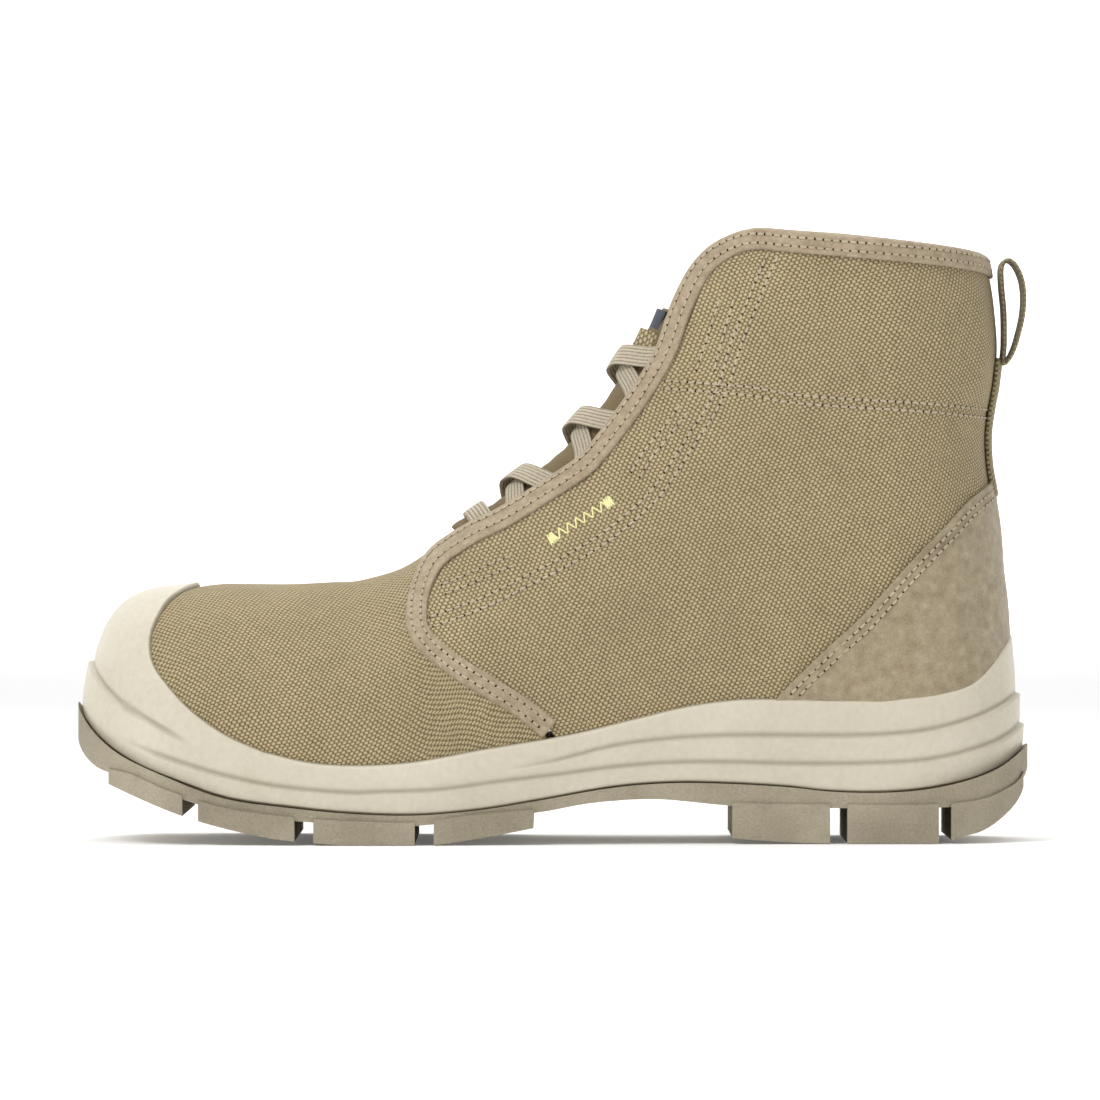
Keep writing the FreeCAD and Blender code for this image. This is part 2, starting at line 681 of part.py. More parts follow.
def lace_loops(side):
    """Webbing tabs behind the throat edge that hold the lace's turns."""
    tabs = []
    for x in (-22.0, -8.0, 9.0, 22.0):
        rows = []
        for i in range(3):
            rows.append([crown_offset(x - 3 + 3 * i, side * (22.2 + 1.8 * j)) for j in range(3)])
        tabs.append(thick(rows, -5.4, -3.9))
    return Part.makeCompound(tabs)


# ---------------------------------------------------------------- every node
def vamp_rows(outline, rear, widest, count, columns):
    lean = fan_edge(outline, *rear)
    return arch_rows(rear, lean, (-126.0, 22.0), math.radians(70), math.radians(widest), count, columns)


def flat_lean(degrees):
    return lambda angle: math.radians(degrees)


def cap_rows(x0, x1, lean0, lean1, count, widest=80):
    return arch_rows((x0, 25.0), flat_lean(lean0), (x1, 25.0), math.radians(lean1), math.radians(widest), count, 25)


def build():
    vamp_seam = inset(resample(SEAM, 15), -0.3)
    lining_seam = inset(resample(SEAM, 15), -0.6)
    nodes = {
        "outsole": outsole(),
        "foxing": foxing(),
        "midsole_filler": biggest(board(-7.0, lambda x: 0.1, filler_top, -140.0, 140.0).cut(shank(0.1, 9.0))),
        "steel_shank": shank(0.0, 0.0),
        "insole_board": board(-7.0, lambda x: filler_top(x) + 0.1, lambda x: filler_top(x) + 2.2, -140.0, 140.0),
        "footbed": board(-7.6, lambda x: filler_top(x) + 2.4, lambda x: filler_top(x) + 6.6, -140.0, 140.0),
        "toe_bumper": toe_bumper(),
        "vamp_canvas": thick(vamp_rows(vamp_seam, (-12.0, 16.0), 80, 21, 27), -CANVAS, 0.0),
        "vamp_lining": thick(vamp_rows(lining_seam, (-12.0, 16.0), 78, 21, 27),
                             lambda p: -lining_depth(p) - LINING, lambda p: -lining_depth(p)),
        "steel_toe_cap": thick(cap_rows(-98.0, -124.0, 0, 76, 13), -CANVAS - GAP - CAP_STEEL, -CANVAS - GAP),
        "toe_cap_edge_strip": thick(cap_rows(-93.2, -97.4, 0, 0, 4), -CANVAS - GAP - 1.2, -CANVAS - GAP),
        "heel_counter": heel_counter(),
        "heel_stiffener": heel_stiffener(),
        "collar_padding": collar_padding(),
        "back_strap": thick(strap_rows(117.5, 151.0, 9, 10.0), 0.5, 0.5 + WEBBING),
        "pull_loop": pull_loop(),
        "tongue_face": tongue_layer(-1.0, 0.0),
        "tongue_padding": tongue_layer(-4.5, -1.7, (0.08, 0.96), 20.5),
        "tongue_lining": tongue_layer(-5.6, -4.9, (0.04, 0.98), 22.0),
        "tongue_patch": tongue_layer(0.15, 0.75, (0.98, 1.0), 9.0, 7),
        "lace_keeper": keeper(),
        "lace": lace(),
        "lace_top": lace_top(),
    }
    for side, name in ((-1, "outer"), (1, "inner")):
        nodes["quarter_" + name] = quarter(side, -CANVAS, 0.0)
        nodes["quarter_lining_" + name] = quarter_lining(side)
        nodes["edge_trim_" + name] = edge_trim(side)
        nodes["facing_stay_" + name] = facing_stay(side)
        nodes["lace_loops_" + name] = lace_loops(side)
    return nodes


os.makedirs("parts", exist_ok=True)
for node, shape in build().items():
    size = shape.BoundBox
    print("%-22s valid %s solids %d volume %.0f  x %.1f..%.1f  y %.1f..%.1f  z %.1f..%.1f" % (
        node, shape.isValid(), len(shape.Solids), shape.Volume, size.XMin, size.XMax, size.YMin, size.YMax,
        size.ZMin, size.ZMax))
    shape.exportStep("parts/" + node + ".step")
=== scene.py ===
import math
import bmesh
import bpy
import numpy as np
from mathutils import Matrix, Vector


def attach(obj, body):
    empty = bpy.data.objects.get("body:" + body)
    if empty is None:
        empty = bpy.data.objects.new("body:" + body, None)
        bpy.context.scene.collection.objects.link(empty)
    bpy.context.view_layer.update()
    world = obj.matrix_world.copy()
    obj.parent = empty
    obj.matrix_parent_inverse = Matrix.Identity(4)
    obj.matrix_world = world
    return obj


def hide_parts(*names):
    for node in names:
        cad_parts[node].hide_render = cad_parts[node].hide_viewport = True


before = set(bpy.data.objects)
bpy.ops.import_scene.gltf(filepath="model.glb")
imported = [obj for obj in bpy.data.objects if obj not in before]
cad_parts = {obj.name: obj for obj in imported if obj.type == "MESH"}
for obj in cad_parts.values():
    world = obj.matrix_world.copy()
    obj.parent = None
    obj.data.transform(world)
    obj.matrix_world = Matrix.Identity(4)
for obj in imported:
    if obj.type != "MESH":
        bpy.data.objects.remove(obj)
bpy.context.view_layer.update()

MM = 0.001            # the shapes below are worked out in millimetres
RANDOM = np.random.default_rng(7)

# ---- the boot's surface, in millimetres
CANVAS = 1.3
BACK_AXIS = 108.0
BACK_TURN = 38.2
UNROLLED_BACK = BACK_AXIS + BACK_TURN * math.pi / 2
CORNER = 8.0
CROWN = [(-150, 80.0), (-118, 80.8), (-104, 82.2), (-80, 81.7), (-62, 83.4), (-50, 86.6), (-42, 90.8),
         (-36, 96.2), (-29, 102.8), (-18, 110.5), (-6, 119.5), (4, 128.0), (12, 137.0), (20, 148.5),
         (27, 160.5), (33, 174.5), (41, 196.0), (60, 250.0)]
TOE_FRONT = [(0, -133.0), (20, -143.0), (30, -147.0), (45, -148.7), (60, -145.6), (75, -142.3),
             (95, -138.0)]
HEEL_BACK = [(0, 140.0), (18, 145.5), (31, 148.0), (46, 147.3), (67, 145.5), (84, 144.2), (100, 142.7),
             (112, 141.0), (120, 139.6), (130, 139.2), (139, 140.4), (146, 141.7), (157, 142.7),
             (168, 142.0), (178, 140.7), (188, 138.4), (200, 135.5)]
PLAN_HALF = [(-150, 50.0), (-110, 50.5), (-70, 51.3), (-45, 50.0), (-10, 44.0), (25, 39.0), (60, 36.5),
             (100, 36.0), (150, 36.0)]
MIDDLE = [(-150, 3.1), (-110, 2.1), (-70, -0.6), (-30, -2.7), (10, -3.8), (50, -2.5), (100, -1.4),
          (150, -1.4)]
BORDER = [(-153, 45.0), (-149, 38.0), (-139, 29.0), (-122, 21.1), (-104, 14.6), (-82, 11.5), (-62, 9.7),
          (-43, 9.3), (-23, 10.9), (-4, 13.9), (19, 17.8), (38, 19.2), (56, 18.9), (75, 17.8),
          (88, 16.4), (104, 16.0), (118, 17.0), (132, 19.8), (143, 24.0), (153, 31.0)]
WALL_TOP = [(-153, 68.0), (-146, 60.0), (-142, 53.0), (-136.5, 46.5), (-129, 40.6), (-118, 34.0),
            (-104, 31.6), (-91, 29.3), (-76, 26.0), (-60, 25.2), (-43, 26.4), (-23, 30.0), (6, 34.9),
            (25, 39.4), (44, 43.8), (62, 45.8), (97, 45.4), (110, 46.0), (127, 48.4), (135, 52.2),
            (140, 57.5), (143.5, 62.3), (145.8, 66.5)]
BUMPER_EDGE = [(-91, 29.3), (-103.8, 35.0), (-114, 42.3), (-122, 50.5), (-127, 58), (-127.6, 66),
               (-124.5, 73.5), (-119, 79.0), (-113.6, 80.9)]
FACING_EDGE = [(-3.5, 33.4), (-12, 40.3), (-23.5, 47.4), (-34, 54), (-42, 60.5), (-46.2, 66.8),
               (-46.9, 73), (-45.6, 81), (-42.6, 88.5), (-39.2, 93.2), (-35, 96.6), (-28, 101),
               (-18, 106), (-8, 112), (0.5, 117.5), (8.5, 123.2), (15, 130.8), (21.5, 139.5), (28, 149),
               (33, 158), (36.2, 167), (39.6, 175.5), (44.2, 184), (50, 190), (57, 193.8), (64, 195.4)]
COLLAR_BACK = 187.0
COUNTER_EDGE = [(66, 40.0), (75, 50.0), (87.5, 62.1), (98, 71.7), (112, 87.0), (126, 99.5), (141, 109.5),
                (168, 116.5)]


def along(keys, at):
    """A smooth curve through pairs, straight past its two ends."""
    xs = np.array([k[0] for k in keys], float)
    ys = np.array([k[1] for k in keys], float)
    before = np.maximum(np.arange(len(xs)) - 1, 0)
    after = np.minimum(np.arange(len(xs)) + 1, len(xs) - 1)
    slopes = (ys[after] - ys[before]) / (xs[after] - xs[before])
    at = np.asarray(at, float)
    i = np.clip(np.searchsorted(xs, at, side="right") - 1, 0, len(xs) - 2)
    span = xs[i + 1] - xs[i]
    t = np.clip((at - xs[i]) / span, 0, 1)
    value = ys[i] + t * t * (3 - 2 * t) * (ys[i + 1] - ys[i])
    value += t * (1 - t) ** 2 * span * slopes[i] - t * t * (1 - t) * span * slopes[i + 1]
    value += np.minimum(at - xs[0], 0) * slopes[0] + np.maximum(at - xs[-1], 0) * slopes[-1]
    return value


def ease(value, start, end):
    """A smooth step from 0 to 1 between two values."""
    t = np.clip((np.asarray(value, float) - start) / (end - start), 0, 1)
    return t * t * (3 - 2 * t)


def closeness(x, z):
    """How near (x, z) is to the crown, the toe and the heel, with the corner's power."""
    slope = (along(CROWN, x + 2) - along(CROWN, x - 2)) / 4
    under = (along(CROWN, x) - z) / np.sqrt(1 + slope * slope)
    behind = x - along(TOE_FRONT, z)
    front = -CORNER * np.logaddexp(-under / CORNER, -behind / CORNER)
    power = 2.4 - 0.3 * ease(x, -120, -40)
    round_front = 46 + 4 * ease(x, -100, -20)
    round_back = 38 + 8 * ease(z, 60, 140)
    terms = np.maximum(0, 1 - front / round_front) ** power
    terms += np.maximum(0, 1 - (along(HEEL_BACK, z) - x) / round_back) ** power
    return terms, power


def side_half(x, z):
    """Half the width of the boot away from its ends."""
    low = along(PLAN_HALF, x)
    return low + (36 + 0.04 * (z - 90) - low) * ease(z, 40, 110)


def half_width(x, z):
    """Half the width of the boot at (x, z)."""
    terms, power = closeness(x, z)
    return side_half(x, z) * np.maximum(0, 1 - terms) ** (1 / power)


def level(p):
    """Below 0 inside the canvas, 0 on it and above 0 outside."""
    x, y, z = p[..., 0], p[..., 1], p[..., 2]
    terms, power = closeness(x, z)
    return (np.abs(y - along(MIDDLE, x)) / side_half(x, z)) ** power + terms - 1


def outward(p):
    """Unit normals of the canvas."""
    step = 0.1
    out = np.zeros(p.shape)
    for axis in range(3):
        d = np.zeros(3)
        d[axis] = step
        out[..., axis] = level(p + d) - level(p - d)
    return out / np.maximum(np.linalg.norm(out, axis=-1, keepdims=True), 1e-9)


def cast(start, direction):
    """Where rays from inside meet the canvas."""
    direction = direction / np.linalg.norm(direction, axis=-1, keepdims=True)
    start = np.broadcast_to(start, direction.shape)
    near = np.zeros(direction.shape[:-1])
    far = np.full(direction.shape[:-1], 4.0)
    for _ in range(50):
        inside = level(start + direction * far[..., None]) < 0
        if not inside.any():
            break
        far = np.where(inside, far + 5.0, far)
    for _ in range(22):
        mid = (near + far) / 2
        inside = level(start + direction * mid[..., None]) < 0
        near = np.where(inside, mid, near)
        far = np.where(inside, far, mid)
    return start + direction * near[..., None]


def unrolled(s, z, side):
    """Points at an unrolled length s along one side, which turns round the heel past BACK_AXIS."""
    s, z, side = np.broadcast_arrays(np.asarray(s, float), np.asarray(z, float), np.asarray(side, float))
    x = np.minimum(s, BACK_AXIS)
    turn = np.clip((s - BACK_AXIS) / BACK_TURN, 0, math.pi / 2)
    start = np.stack([x, along(MIDDLE, x), z], -1)
    direction = np.stack([np.sin(turn), side * np.cos(turn), np.zeros(s.shape)], -1)
    return cast(start, direction)


def crown_offset(x, y):
    """Points beside the crown, at y from the middle."""
    x, y = np.broadcast_arrays(np.asarray(x, float), np.asarray(y, float))
    slope = (along(CROWN, x + 2) - along(CROWN, x - 2)) / 4
    scale = np.sqrt(1 + slope * slope)
    out = np.stack([-slope / scale, np.zeros(x.shape), 1 / scale], -1)
    start = np.stack([x, along(MIDDLE, x), along(CROWN, x)], -1) - out * 34
    angle = np.arctan2(np.abs(y), 34 - np.abs(y) * 0.3)[..., None]
    sideways = np.stack([np.zeros(x.shape), np.sign(y), np.zeros(x.shape)], -1)
    return cast(start, out * np.cos(angle) + sideways * np.sin(angle))


def resample(outline, count):
    """Evenly spaced points along a smooth line through an outline."""
    points = np.array(outline, float)
    knots = np.concatenate([[0], np.cumsum(np.linalg.norm(np.diff(points, axis=0), axis=1))])
    fine = np.linspace(0, knots[-1], 1200)
    xs = along(list(zip(knots, points[:, 0])), fine)
    zs = along(list(zip(knots, points[:, 1])), fine)
    length = np.concatenate([[0], np.cumsum(np.hypot(np.diff(xs), np.diff(zs)))])
    want = np.linspace(0, 1, count) * length[-1]
    return np.stack([np.interp(want, length, xs), np.interp(want, length, zs)], -1)


def inset(line, distance):
    """The open line moved to its right."""
    tangent = np.gradient(line, axis=0)
    tangent /= np.linalg.norm(tangent, axis=1, keepdims=True)
    normal = np.stack([tangent[:, 1], -tangent[:, 0]], -1)
    return line + normal * np.reshape(distance, (-1, 1))


# ---- meshes
def placed(name, data):
    """A new object in the scene."""
    made = bpy.data.objects.new(name, data)
    bpy.context.scene.collection.objects.link(made)
    return made


def new_object(name, vertices, faces, uvs=None):
    """A mesh object from millimetre points; uvs holds one (u, v) in millimetres per vertex."""
    mesh = bpy.data.meshes.new(name)
    mesh.from_pydata((np.asarray(vertices) * MM).tolist(), [], faces)
    if uvs is not None:
        layer = mesh.uv_layers.new(name="cloth")
        loops = np.zeros(len(mesh.loops), dtype=np.int32)
        mesh.loops.foreach_get("vertex_index", loops)
        layer.data.foreach_set("uv", np.asarray(uvs, np.float32)[loops].ravel())
    mesh.polygons.foreach_set("use_smooth", [True] * len(mesh.polygons))
    mesh.update()
    return placed(name, mesh)


def grid_lengths(points):
    """Lengths along the rows and columns of a grid, for a weave that keeps its size."""
    across = np.linalg.norm(np.diff(points, axis=1), axis=-1)
    down = np.linalg.norm(np.diff(points, axis=0), axis=-1)
    u = np.concatenate([np.zeros((len(points), 1)), np.cumsum(across, axis=1)], axis=1)
    v = np.concatenate([np.zeros((1, points.shape[1])), np.cumsum(down, axis=0)], axis=0)
    return u - u[:, points.shape[1] // 2][:, None], v


def shell_object(name, points, low, high, uv=None):
    """A closed cloth-like solid: an outer and an inner skin over a grid of canvas points, with a rim."""
    normals = outward(points)
    rows, columns = points.shape[:2]
    low = np.broadcast_to(low, (rows, columns))
    high = np.broadcast_to(high, (rows, columns))
    outer = points + normals * high[..., None]
    inner = points + normals * low[..., None]
    u, v = grid_lengths(points) if uv is None else uv
    vertices = np.concatenate([outer.reshape(-1, 3), inner.reshape(-1, 3)])
    uvs = np.concatenate([np.stack([u, v], -1).reshape(-1, 2)] * 2)
    index = np.arange(rows * columns).reshape(rows, columns)
    a, b = index[:-1, :-1].ravel(), index[:-1, 1:].ravel()
    c, d = index[1:, 1:].ravel(), index[1:, :-1].ravel()
    shift = rows * columns
    faces = np.stack([a, b, c, d], -1).tolist()
    faces += (np.stack([d, c, b, a], -1) + shift).tolist()
    rim = np.concatenate([index[0, :], index[1:, -1], index[-1, -2::-1], index[-2:0:-1, 0]])
    nxt = np.roll(rim, -1)
    faces += np.stack([rim, rim + shift, nxt + shift, nxt], -1).tolist()
    made = new_object(name, vertices, faces, uvs)
    face_outward(made)
    return made


def face_outward(made):
    """Turns every face outward."""
    work = bmesh.new()
    work.from_mesh(made.data)
    bmesh.ops.recalc_face_normals(work, faces=work.faces)
    work.to_mesh(made.data)
    work.free()


def tube_grid(name, rings, closed_ends=True):
    """A closed solid through rings of points, each ring closed."""
    rings = np.asarray(rings)
    count, around = rings.shape[:2]
    vertices = rings.reshape(-1, 3)
    index = np.arange(count * around).reshape(count, around)
    nxt = np.roll(index, -1, axis=1)
    faces = np.stack([index[:-1], nxt[:-1], nxt[1:], index[1:]], -1).reshape(-1, 4).tolist()
    if closed_ends:
        faces.append(index[0, ::-1].tolist())
        faces.append(index[-1].tolist())
    length = np.concatenate([[0], np.cumsum(np.linalg.norm(np.diff(rings.mean(axis=1), axis=0), axis=1))])
    girth = np.linalg.norm(np.roll(rings, -1, axis=1) - rings, axis=-1)
    turn = np.concatenate([np.zeros((count, 1)), np.cumsum(girth, axis=1)[:, :-1]], axis=1)
    uvs = np.stack([np.broadcast_to(length[:, None], turn.shape), turn], -1).reshape(-1, 2)
    made = new_object(name, vertices, faces, uvs)
    face_outward(made)
    return made


def put(made, body, material, replaces=()):
    made.data.materials.append(material)
    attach(made, body)
    if replaces:
        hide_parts(*replaces)
    return made


# ---- materials
def linear(*srgb):
    values = [c / 255 for c in srgb]
    return tuple(c / 12.92 if c <= 0.04045 else ((c + 0.055) / 1.055) ** 2.4 for c in values) + (1.0,)


class Nodes:
    """Short calls for building a material."""

    def __init__(self, name, roughness=0.8, specular=0.3, sheen=0.0):
        self.material = bpy.data.materials.new(name)
        self.material.use_nodes = True
        self.tree = self.material.node_tree
        self.shader = self.tree.nodes["Principled BSDF"]
        self.shader.inputs["Roughness"].default_value = roughness
        self.shader.inputs["Specular IOR Level"].default_value = specular
        self.shader.inputs["Sheen Weight"].default_value = sheen
        self.shader.inputs["Sheen Roughness"].default_value = 0.5

    def node(self, kind, inputs=(), out=0, **settings):
        made = self.tree.nodes.new("ShaderNode" + kind)
        for key, value in settings.items():
            setattr(made, key, value)
        for key, value in dict(inputs).items():
            if isinstance(value, bpy.types.NodeSocket):
                self.tree.links.new(value, made.inputs[key])
            else:
                made.inputs[key].default_value = value
        return made.outputs[out]

    def math(self, operation, a, b=0.0):
        return self.node("Math", {0: a, 1: b}, operation=operation)

    def times(self, a, b):
        return self.math("MULTIPLY", a, b)

    def plus(self, a, b):
        return self.math("ADD", a, b)

    def place(self):
        """Object position in millimetres."""
        where = self.node("TexCoord", out="Object")
        return self.node("VectorMath", {0: where, "Scale": 1 / MM}, operation="SCALE")

    def cloth(self):
        """The cloth map's two coordinates in millimetres."""
        uv = self.node("UVMap", uv_map="cloth")
        split = self.tree.nodes.new("ShaderNodeSeparateXYZ")
        self.tree.links.new(uv, split.inputs[0])
        return split.outputs[0], split.outputs[1]

    def noise(self, scale, detail=3.0):
        inputs = {"Scale": scale, "Detail": detail, "Roughness": 0.6, "Vector": self.place()}
        return self.node("TexNoise", inputs)

    def ramp(self, value, stops):
        made = self.tree.nodes.new("ShaderNodeValToRGB")
        self.tree.links.new(value, made.inputs[0])
        elements = made.color_ramp.elements
        while len(elements) < len(stops):
            elements.new(0.5)
        for element, (place, colour) in zip(elements, stops):
            element.position = place
            element.color = colour
        return made.outputs[0]

    def mix(self, share, a, b, blend="MIX"):
        made = self.tree.nodes.new("ShaderNodeMix")
        made.data_type = "RGBA"
        made.blend_type = blend
        for socket, value in ((made.inputs[0], share), (made.inputs[6], a), (made.inputs[7], b)):
            if isinstance(value, bpy.types.NodeSocket):
                self.tree.links.new(value, socket)
            else:
                socket.default_value = value
        return made.outputs[2]

    def finish(self, colour, height=None, distance=0.2, strength=1.0, rough=None):
        self.tree.links.new(colour, self.shader.inputs["Base Color"])
        if rough is not None:
            self.tree.links.new(rough, self.shader.inputs["Roughness"])
        if height is not None:
            bump = self.node("Bump", {"Strength": strength, "Distance": distance * MM, "Height": height})
            self.tree.links.new(bump, self.shader.inputs["Normal"])
        return self.material


WEAVE_LEAN = math.radians(14)
WEBBING_PITCH = 1.6


def weave_material(name, dark, middle, light, pitch=(1.62, 2.05), depth=0.3):
    """Plain weave of thick threads, seen as staggered oval beads, with painted shade in the gaps and
    painted highlights on the bead tops.
    """
    n = Nodes(name, roughness=0.85, specular=0.2, sheen=0.1)
    u, v = n.cloth()
    c, s = math.cos(WEAVE_LEAN), math.sin(WEAVE_LEAN)
    across = n.plus(n.times(u, c / pitch[0]), n.times(v, s / pitch[0]))
    up = n.math("SUBTRACT", n.times(v, c / pitch[1]), n.times(u, s / pitch[1]))
    across = n.plus(across, n.times(n.noise(0.06, 2.0), 1.4))
    up = n.plus(up, n.times(n.noise(0.08, 2.0), 0.8))
    jitter = n.times(n.math("SUBTRACT", n.noise(0.9, 2.0), 0.5), 0.35)
    height, tone = 0.0, 0.0
    for shift in (0.0, 0.5):
        a = n.plus(n.plus(across, shift), jitter)
        b = n.plus(n.plus(up, shift), n.times(jitter, 0.5))
        x = n.math("SUBTRACT", n.math("FRACT", a), 0.5)
        y = n.math("SUBTRACT", n.math("FRACT", b), 0.5)
        far = n.plus(n.times(n.times(x, x), 3.5),
                     n.times(n.times(y, y), 8.5))
        bead = n.math("SQRT", n.math("MAXIMUM", n.math("SUBTRACT", 1.0, far), 0.0))
        cell = n.node("CombineXYZ", {0: n.math("FLOOR", a), 1: n.math("FLOOR", b), 2: shift})
        speck = n.node("TexWhiteNoise", {"Vector": cell}, noise_dimensions="3D")
        height = n.math("MAXIMUM", height, bead)
        tone = n.plus(tone, n.times(speck, 0.5))
    fuzz = n.times(n.noise(3.0, 3.0), 0.3)
    mixed = n.plus(n.times(height, 0.9), n.times(fuzz, 0.4))
    # The ramp follows bead height: painted shade in the gaps between beads, painted highlight on their
    # tops.
    colour = n.ramp(mixed, [(0.12, dark), (0.62, middle), (1.0, light)])
    tone = n.plus(n.times(tone, 0.25), n.times(n.noise(0.05, 4.0), 0.6))
    shade = n.ramp(tone, [(0.15, (0.80, 0.79, 0.77, 1)), (0.75, (1.06, 1.05, 1.03, 1))])
    colour = n.mix(1.0, colour, shade, "MULTIPLY")
    return n.finish(colour, n.plus(height, fuzz), distance=depth, strength=0.9)


def grain_material(name, dark, light, scale, distance, roughness=0.8, specular=0.3, patch=0.05, sheen=0.0):
    """Rubber, suede and similar: fine grain over soft patches."""
    n = Nodes(name, roughness, specular, sheen)
    grain = n.noise(scale, 4.0)
    patches = n.noise(patch, 3.0)
    tone = n.plus(n.times(grain, 0.45), n.times(patches, 0.55))
    colour = n.ramp(tone, [(0.32, dark), (0.68, light)])
    rough = n.plus(n.times(grain, 0.2), roughness - 0.1)
    return n.finish(colour, grain, distance, 0.8, rough)


def wall_material():
    """Smooth moulded rubber with painted shade: darker in its grooves, along its top rim and at its join
    with the outsole.
    """
    n = Nodes("wall_rubber", 0.5, 0.4)
    fine, broad = n.noise(0.5, 4.0), n.noise(0.03, 3.0)
    tone = n.plus(n.times(fine, 0.45), n.times(broad, 0.55))
    colour = n.ramp(tone, [(0.3, linear(198, 190, 170)), (0.7, linear(215, 208, 190))])
    # The groove attribute carries painted shade; it mixes the rubber towards a dark brown.
    groove = n.node("Attribute", out=2, attribute_name="groove")
    colour = n.mix(n.times(groove, 0.42), colour, linear(112, 98, 74))
    return n.finish(colour, n.noise(1.2, 3.0), 0.04, 0.6)


def webbing_material(name, dark, light):
    """Herringbone tape."""
    n = Nodes(name, 0.8, 0.25, 0.1)
    u, v = n.cloth()
    zig = n.math("PINGPONG", v, 2.2)
    rib = n.math("SINE", n.times(n.plus(u, zig), 2 * math.pi / WEBBING_PITCH))
    cross = n.math("SINE", n.times(v, 2 * math.pi / 0.55))
    height = n.plus(n.times(rib, 0.4), n.times(cross, 0.15))
    tone = n.plus(n.times(height, 0.6), n.times(n.noise(1.5, 2.0), 0.9))
    colour = n.ramp(tone, [(0.15, dark), (0.75, light)])
    return n.finish(colour, height, 0.22, 0.9)


def lace_material():
    """Flat woven lace: long ribs with a fine herringbone over them."""
    n = Nodes("lace", 0.8, 0.25, 0.1)
    u, v = n.cloth()
    ribs = n.math("ABSOLUTE", n.math("SINE", n.times(v, math.pi / 1.25)))
    slant = n.plus(u, n.math("PINGPONG", v, 1.25))
    twill = n.math("SINE", n.times(slant, 2 * math.pi / 0.9))
    height = n.plus(n.times(ribs, 0.7), n.times(twill, 0.18))
    tone = n.plus(n.times(height, 0.6), n.times(n.noise(1.2, 2.0), 0.5))
    colour = n.ramp(tone, [(0.2, linear(118, 106, 86)), (0.5, linear(184, 172, 150)),
                           (0.9, linear(210, 200, 181))])
    return n.finish(colour, height, 0.28, 1.0)


canvas = weave_material("canvas", linear(53, 41, 27), linear(136, 119, 88), linear(205, 191, 153))
tongue_cloth = weave_material("tongue_cloth", linear(66, 54, 38), linear(118, 102, 76),
                              linear(150, 134, 102), (0.9, 1.1), 0.15)
lining_cloth = weave_material("lining_cloth", linear(84, 74, 56), linear(130, 118, 94),
                              linear(158, 146, 120), (1.1, 1.3), 0.15)
trim_cloth = grain_material("trim_cloth", linear(144, 127, 102), linear(186, 170, 145), 1.3, 0.3,
                            roughness=0.85, specular=0.2, patch=0.3, sheen=0.2)
suede = grain_material("suede", linear(134, 120, 94), linear(180, 166, 140), 2.2, 0.25,
                       roughness=0.9, specular=0.15, patch=0.26, sheen=0.3)
wall_rubber = wall_material()
sole_rubber = grain_material("sole_rubber", linear(134, 125, 106), linear(178, 168, 147), 1.5, 0.3,
                             roughness=0.75, patch=0.03)
thread = grain_material("thread", linear(168, 153, 128), linear(204, 190, 164), 6.0, 0.05, 0.7, 0.3)
# Painted shade for the needle holes: a dark material on small flat capsules.
needle_hole_shade = grain_material("needle_hole_shade", linear(38, 30, 20), linear(60, 48, 32), 3.0, 0.02, 0.95, 0.05)
yellow = grain_material("yellow_thread", linear(226, 220, 150), linear(246, 242, 186), 6.0, 0.05, 0.6, 0.3)
webbing = webbing_material("webbing", linear(92, 78, 50), linear(178, 164, 128))
lace_cloth = lace_material()
patch_cloth = weave_material("patch_cloth", linear(40, 44, 50), linear(70, 76, 86),
                             linear(96, 102, 112), (0.6, 0.8), 0.1)
steel = grain_material("steel", linear(150, 150, 150), linear(180, 180, 180), 0.8, 0.03, 0.35, 0.5)
steel.node_tree.nodes["Principled BSDF"].inputs["Metallic"].default_value = 1.0
fibre_board = grain_material("fibre_board", linear(120, 98, 70), linear(160, 136, 104), 1.4, 0.1, 0.9, 0.1)
dark_strip = grain_material("dark_strip", linear(24, 24, 24), linear(48, 48, 48), 1.2, 0.05, 0.7, 0.2)
loop_tape = grain_material("loop_tape", linear(110, 96, 66), linear(172, 156, 120), 1.6, 0.15, 0.85, 0.2)
footbed_cloth = weave_material("footbed_cloth", linear(50, 46, 38), linear(88, 82, 70),
                               linear(112, 106, 92), (1.1, 1.3), 0.15)
for node, material in (("outsole", sole_rubber), ("footbed", footbed_cloth), ("insole_board", fibre_board),
                       ("midsole_filler", sole_rubber), ("facing_stay_outer", trim_cloth),
                       ("facing_stay_inner", trim_cloth), ("lace_loops_outer", loop_tape),
                       ("lace_loops_inner", loop_tape), ("steel_toe_cap", steel), ("steel_shank", steel),
                       ("toe_cap_edge_strip", dark_strip), ("heel_stiffener", fibre_board)):
    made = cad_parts[node]
    for k in range(len(made.material_slots)):
        made.material_slots[k].material = material

# ---- surface relief shared by cloth and stitches
LINING = 0.8
TRIM_WIDTH = 7.0
RIM_START, RIM_HEIGHT = 64, 195.4
COLLAR_SEAM = [(20, 147.4), (35.7, 145.6), (62.6, 143.4), (76.0, 141.1), (97.1, 139.5), (108.6, 138.9),
               (126.6, 137.9), (141.6, 137.0), (168, 136.2)]
LONG_SEAM = [(-38.4, 70.1), (-18.2, 78.1), (-7.5, 83.5), (5.6, 90.2), (16.2, 96.6), (26.9, 105.3),
             (32.8, 111.0), (37.0, 116.8), (41.1, 122.9), (45.3, 129.6), (48.8, 134.7), (51.7, 140.2),
             (54.6, 145.9), (58.1, 156.8), (62.6, 168.3), (67.0, 179.2), (70.2, 187.1)]


def top_line(s):
    """Height of the top line, which runs straight from the facings to the heel."""
    return RIM_HEIGHT + (COLLAR_BACK + 0.4 - RIM_HEIGHT) * (s - RIM_START) / (UNROLLED_BACK - 8 - RIM_START)


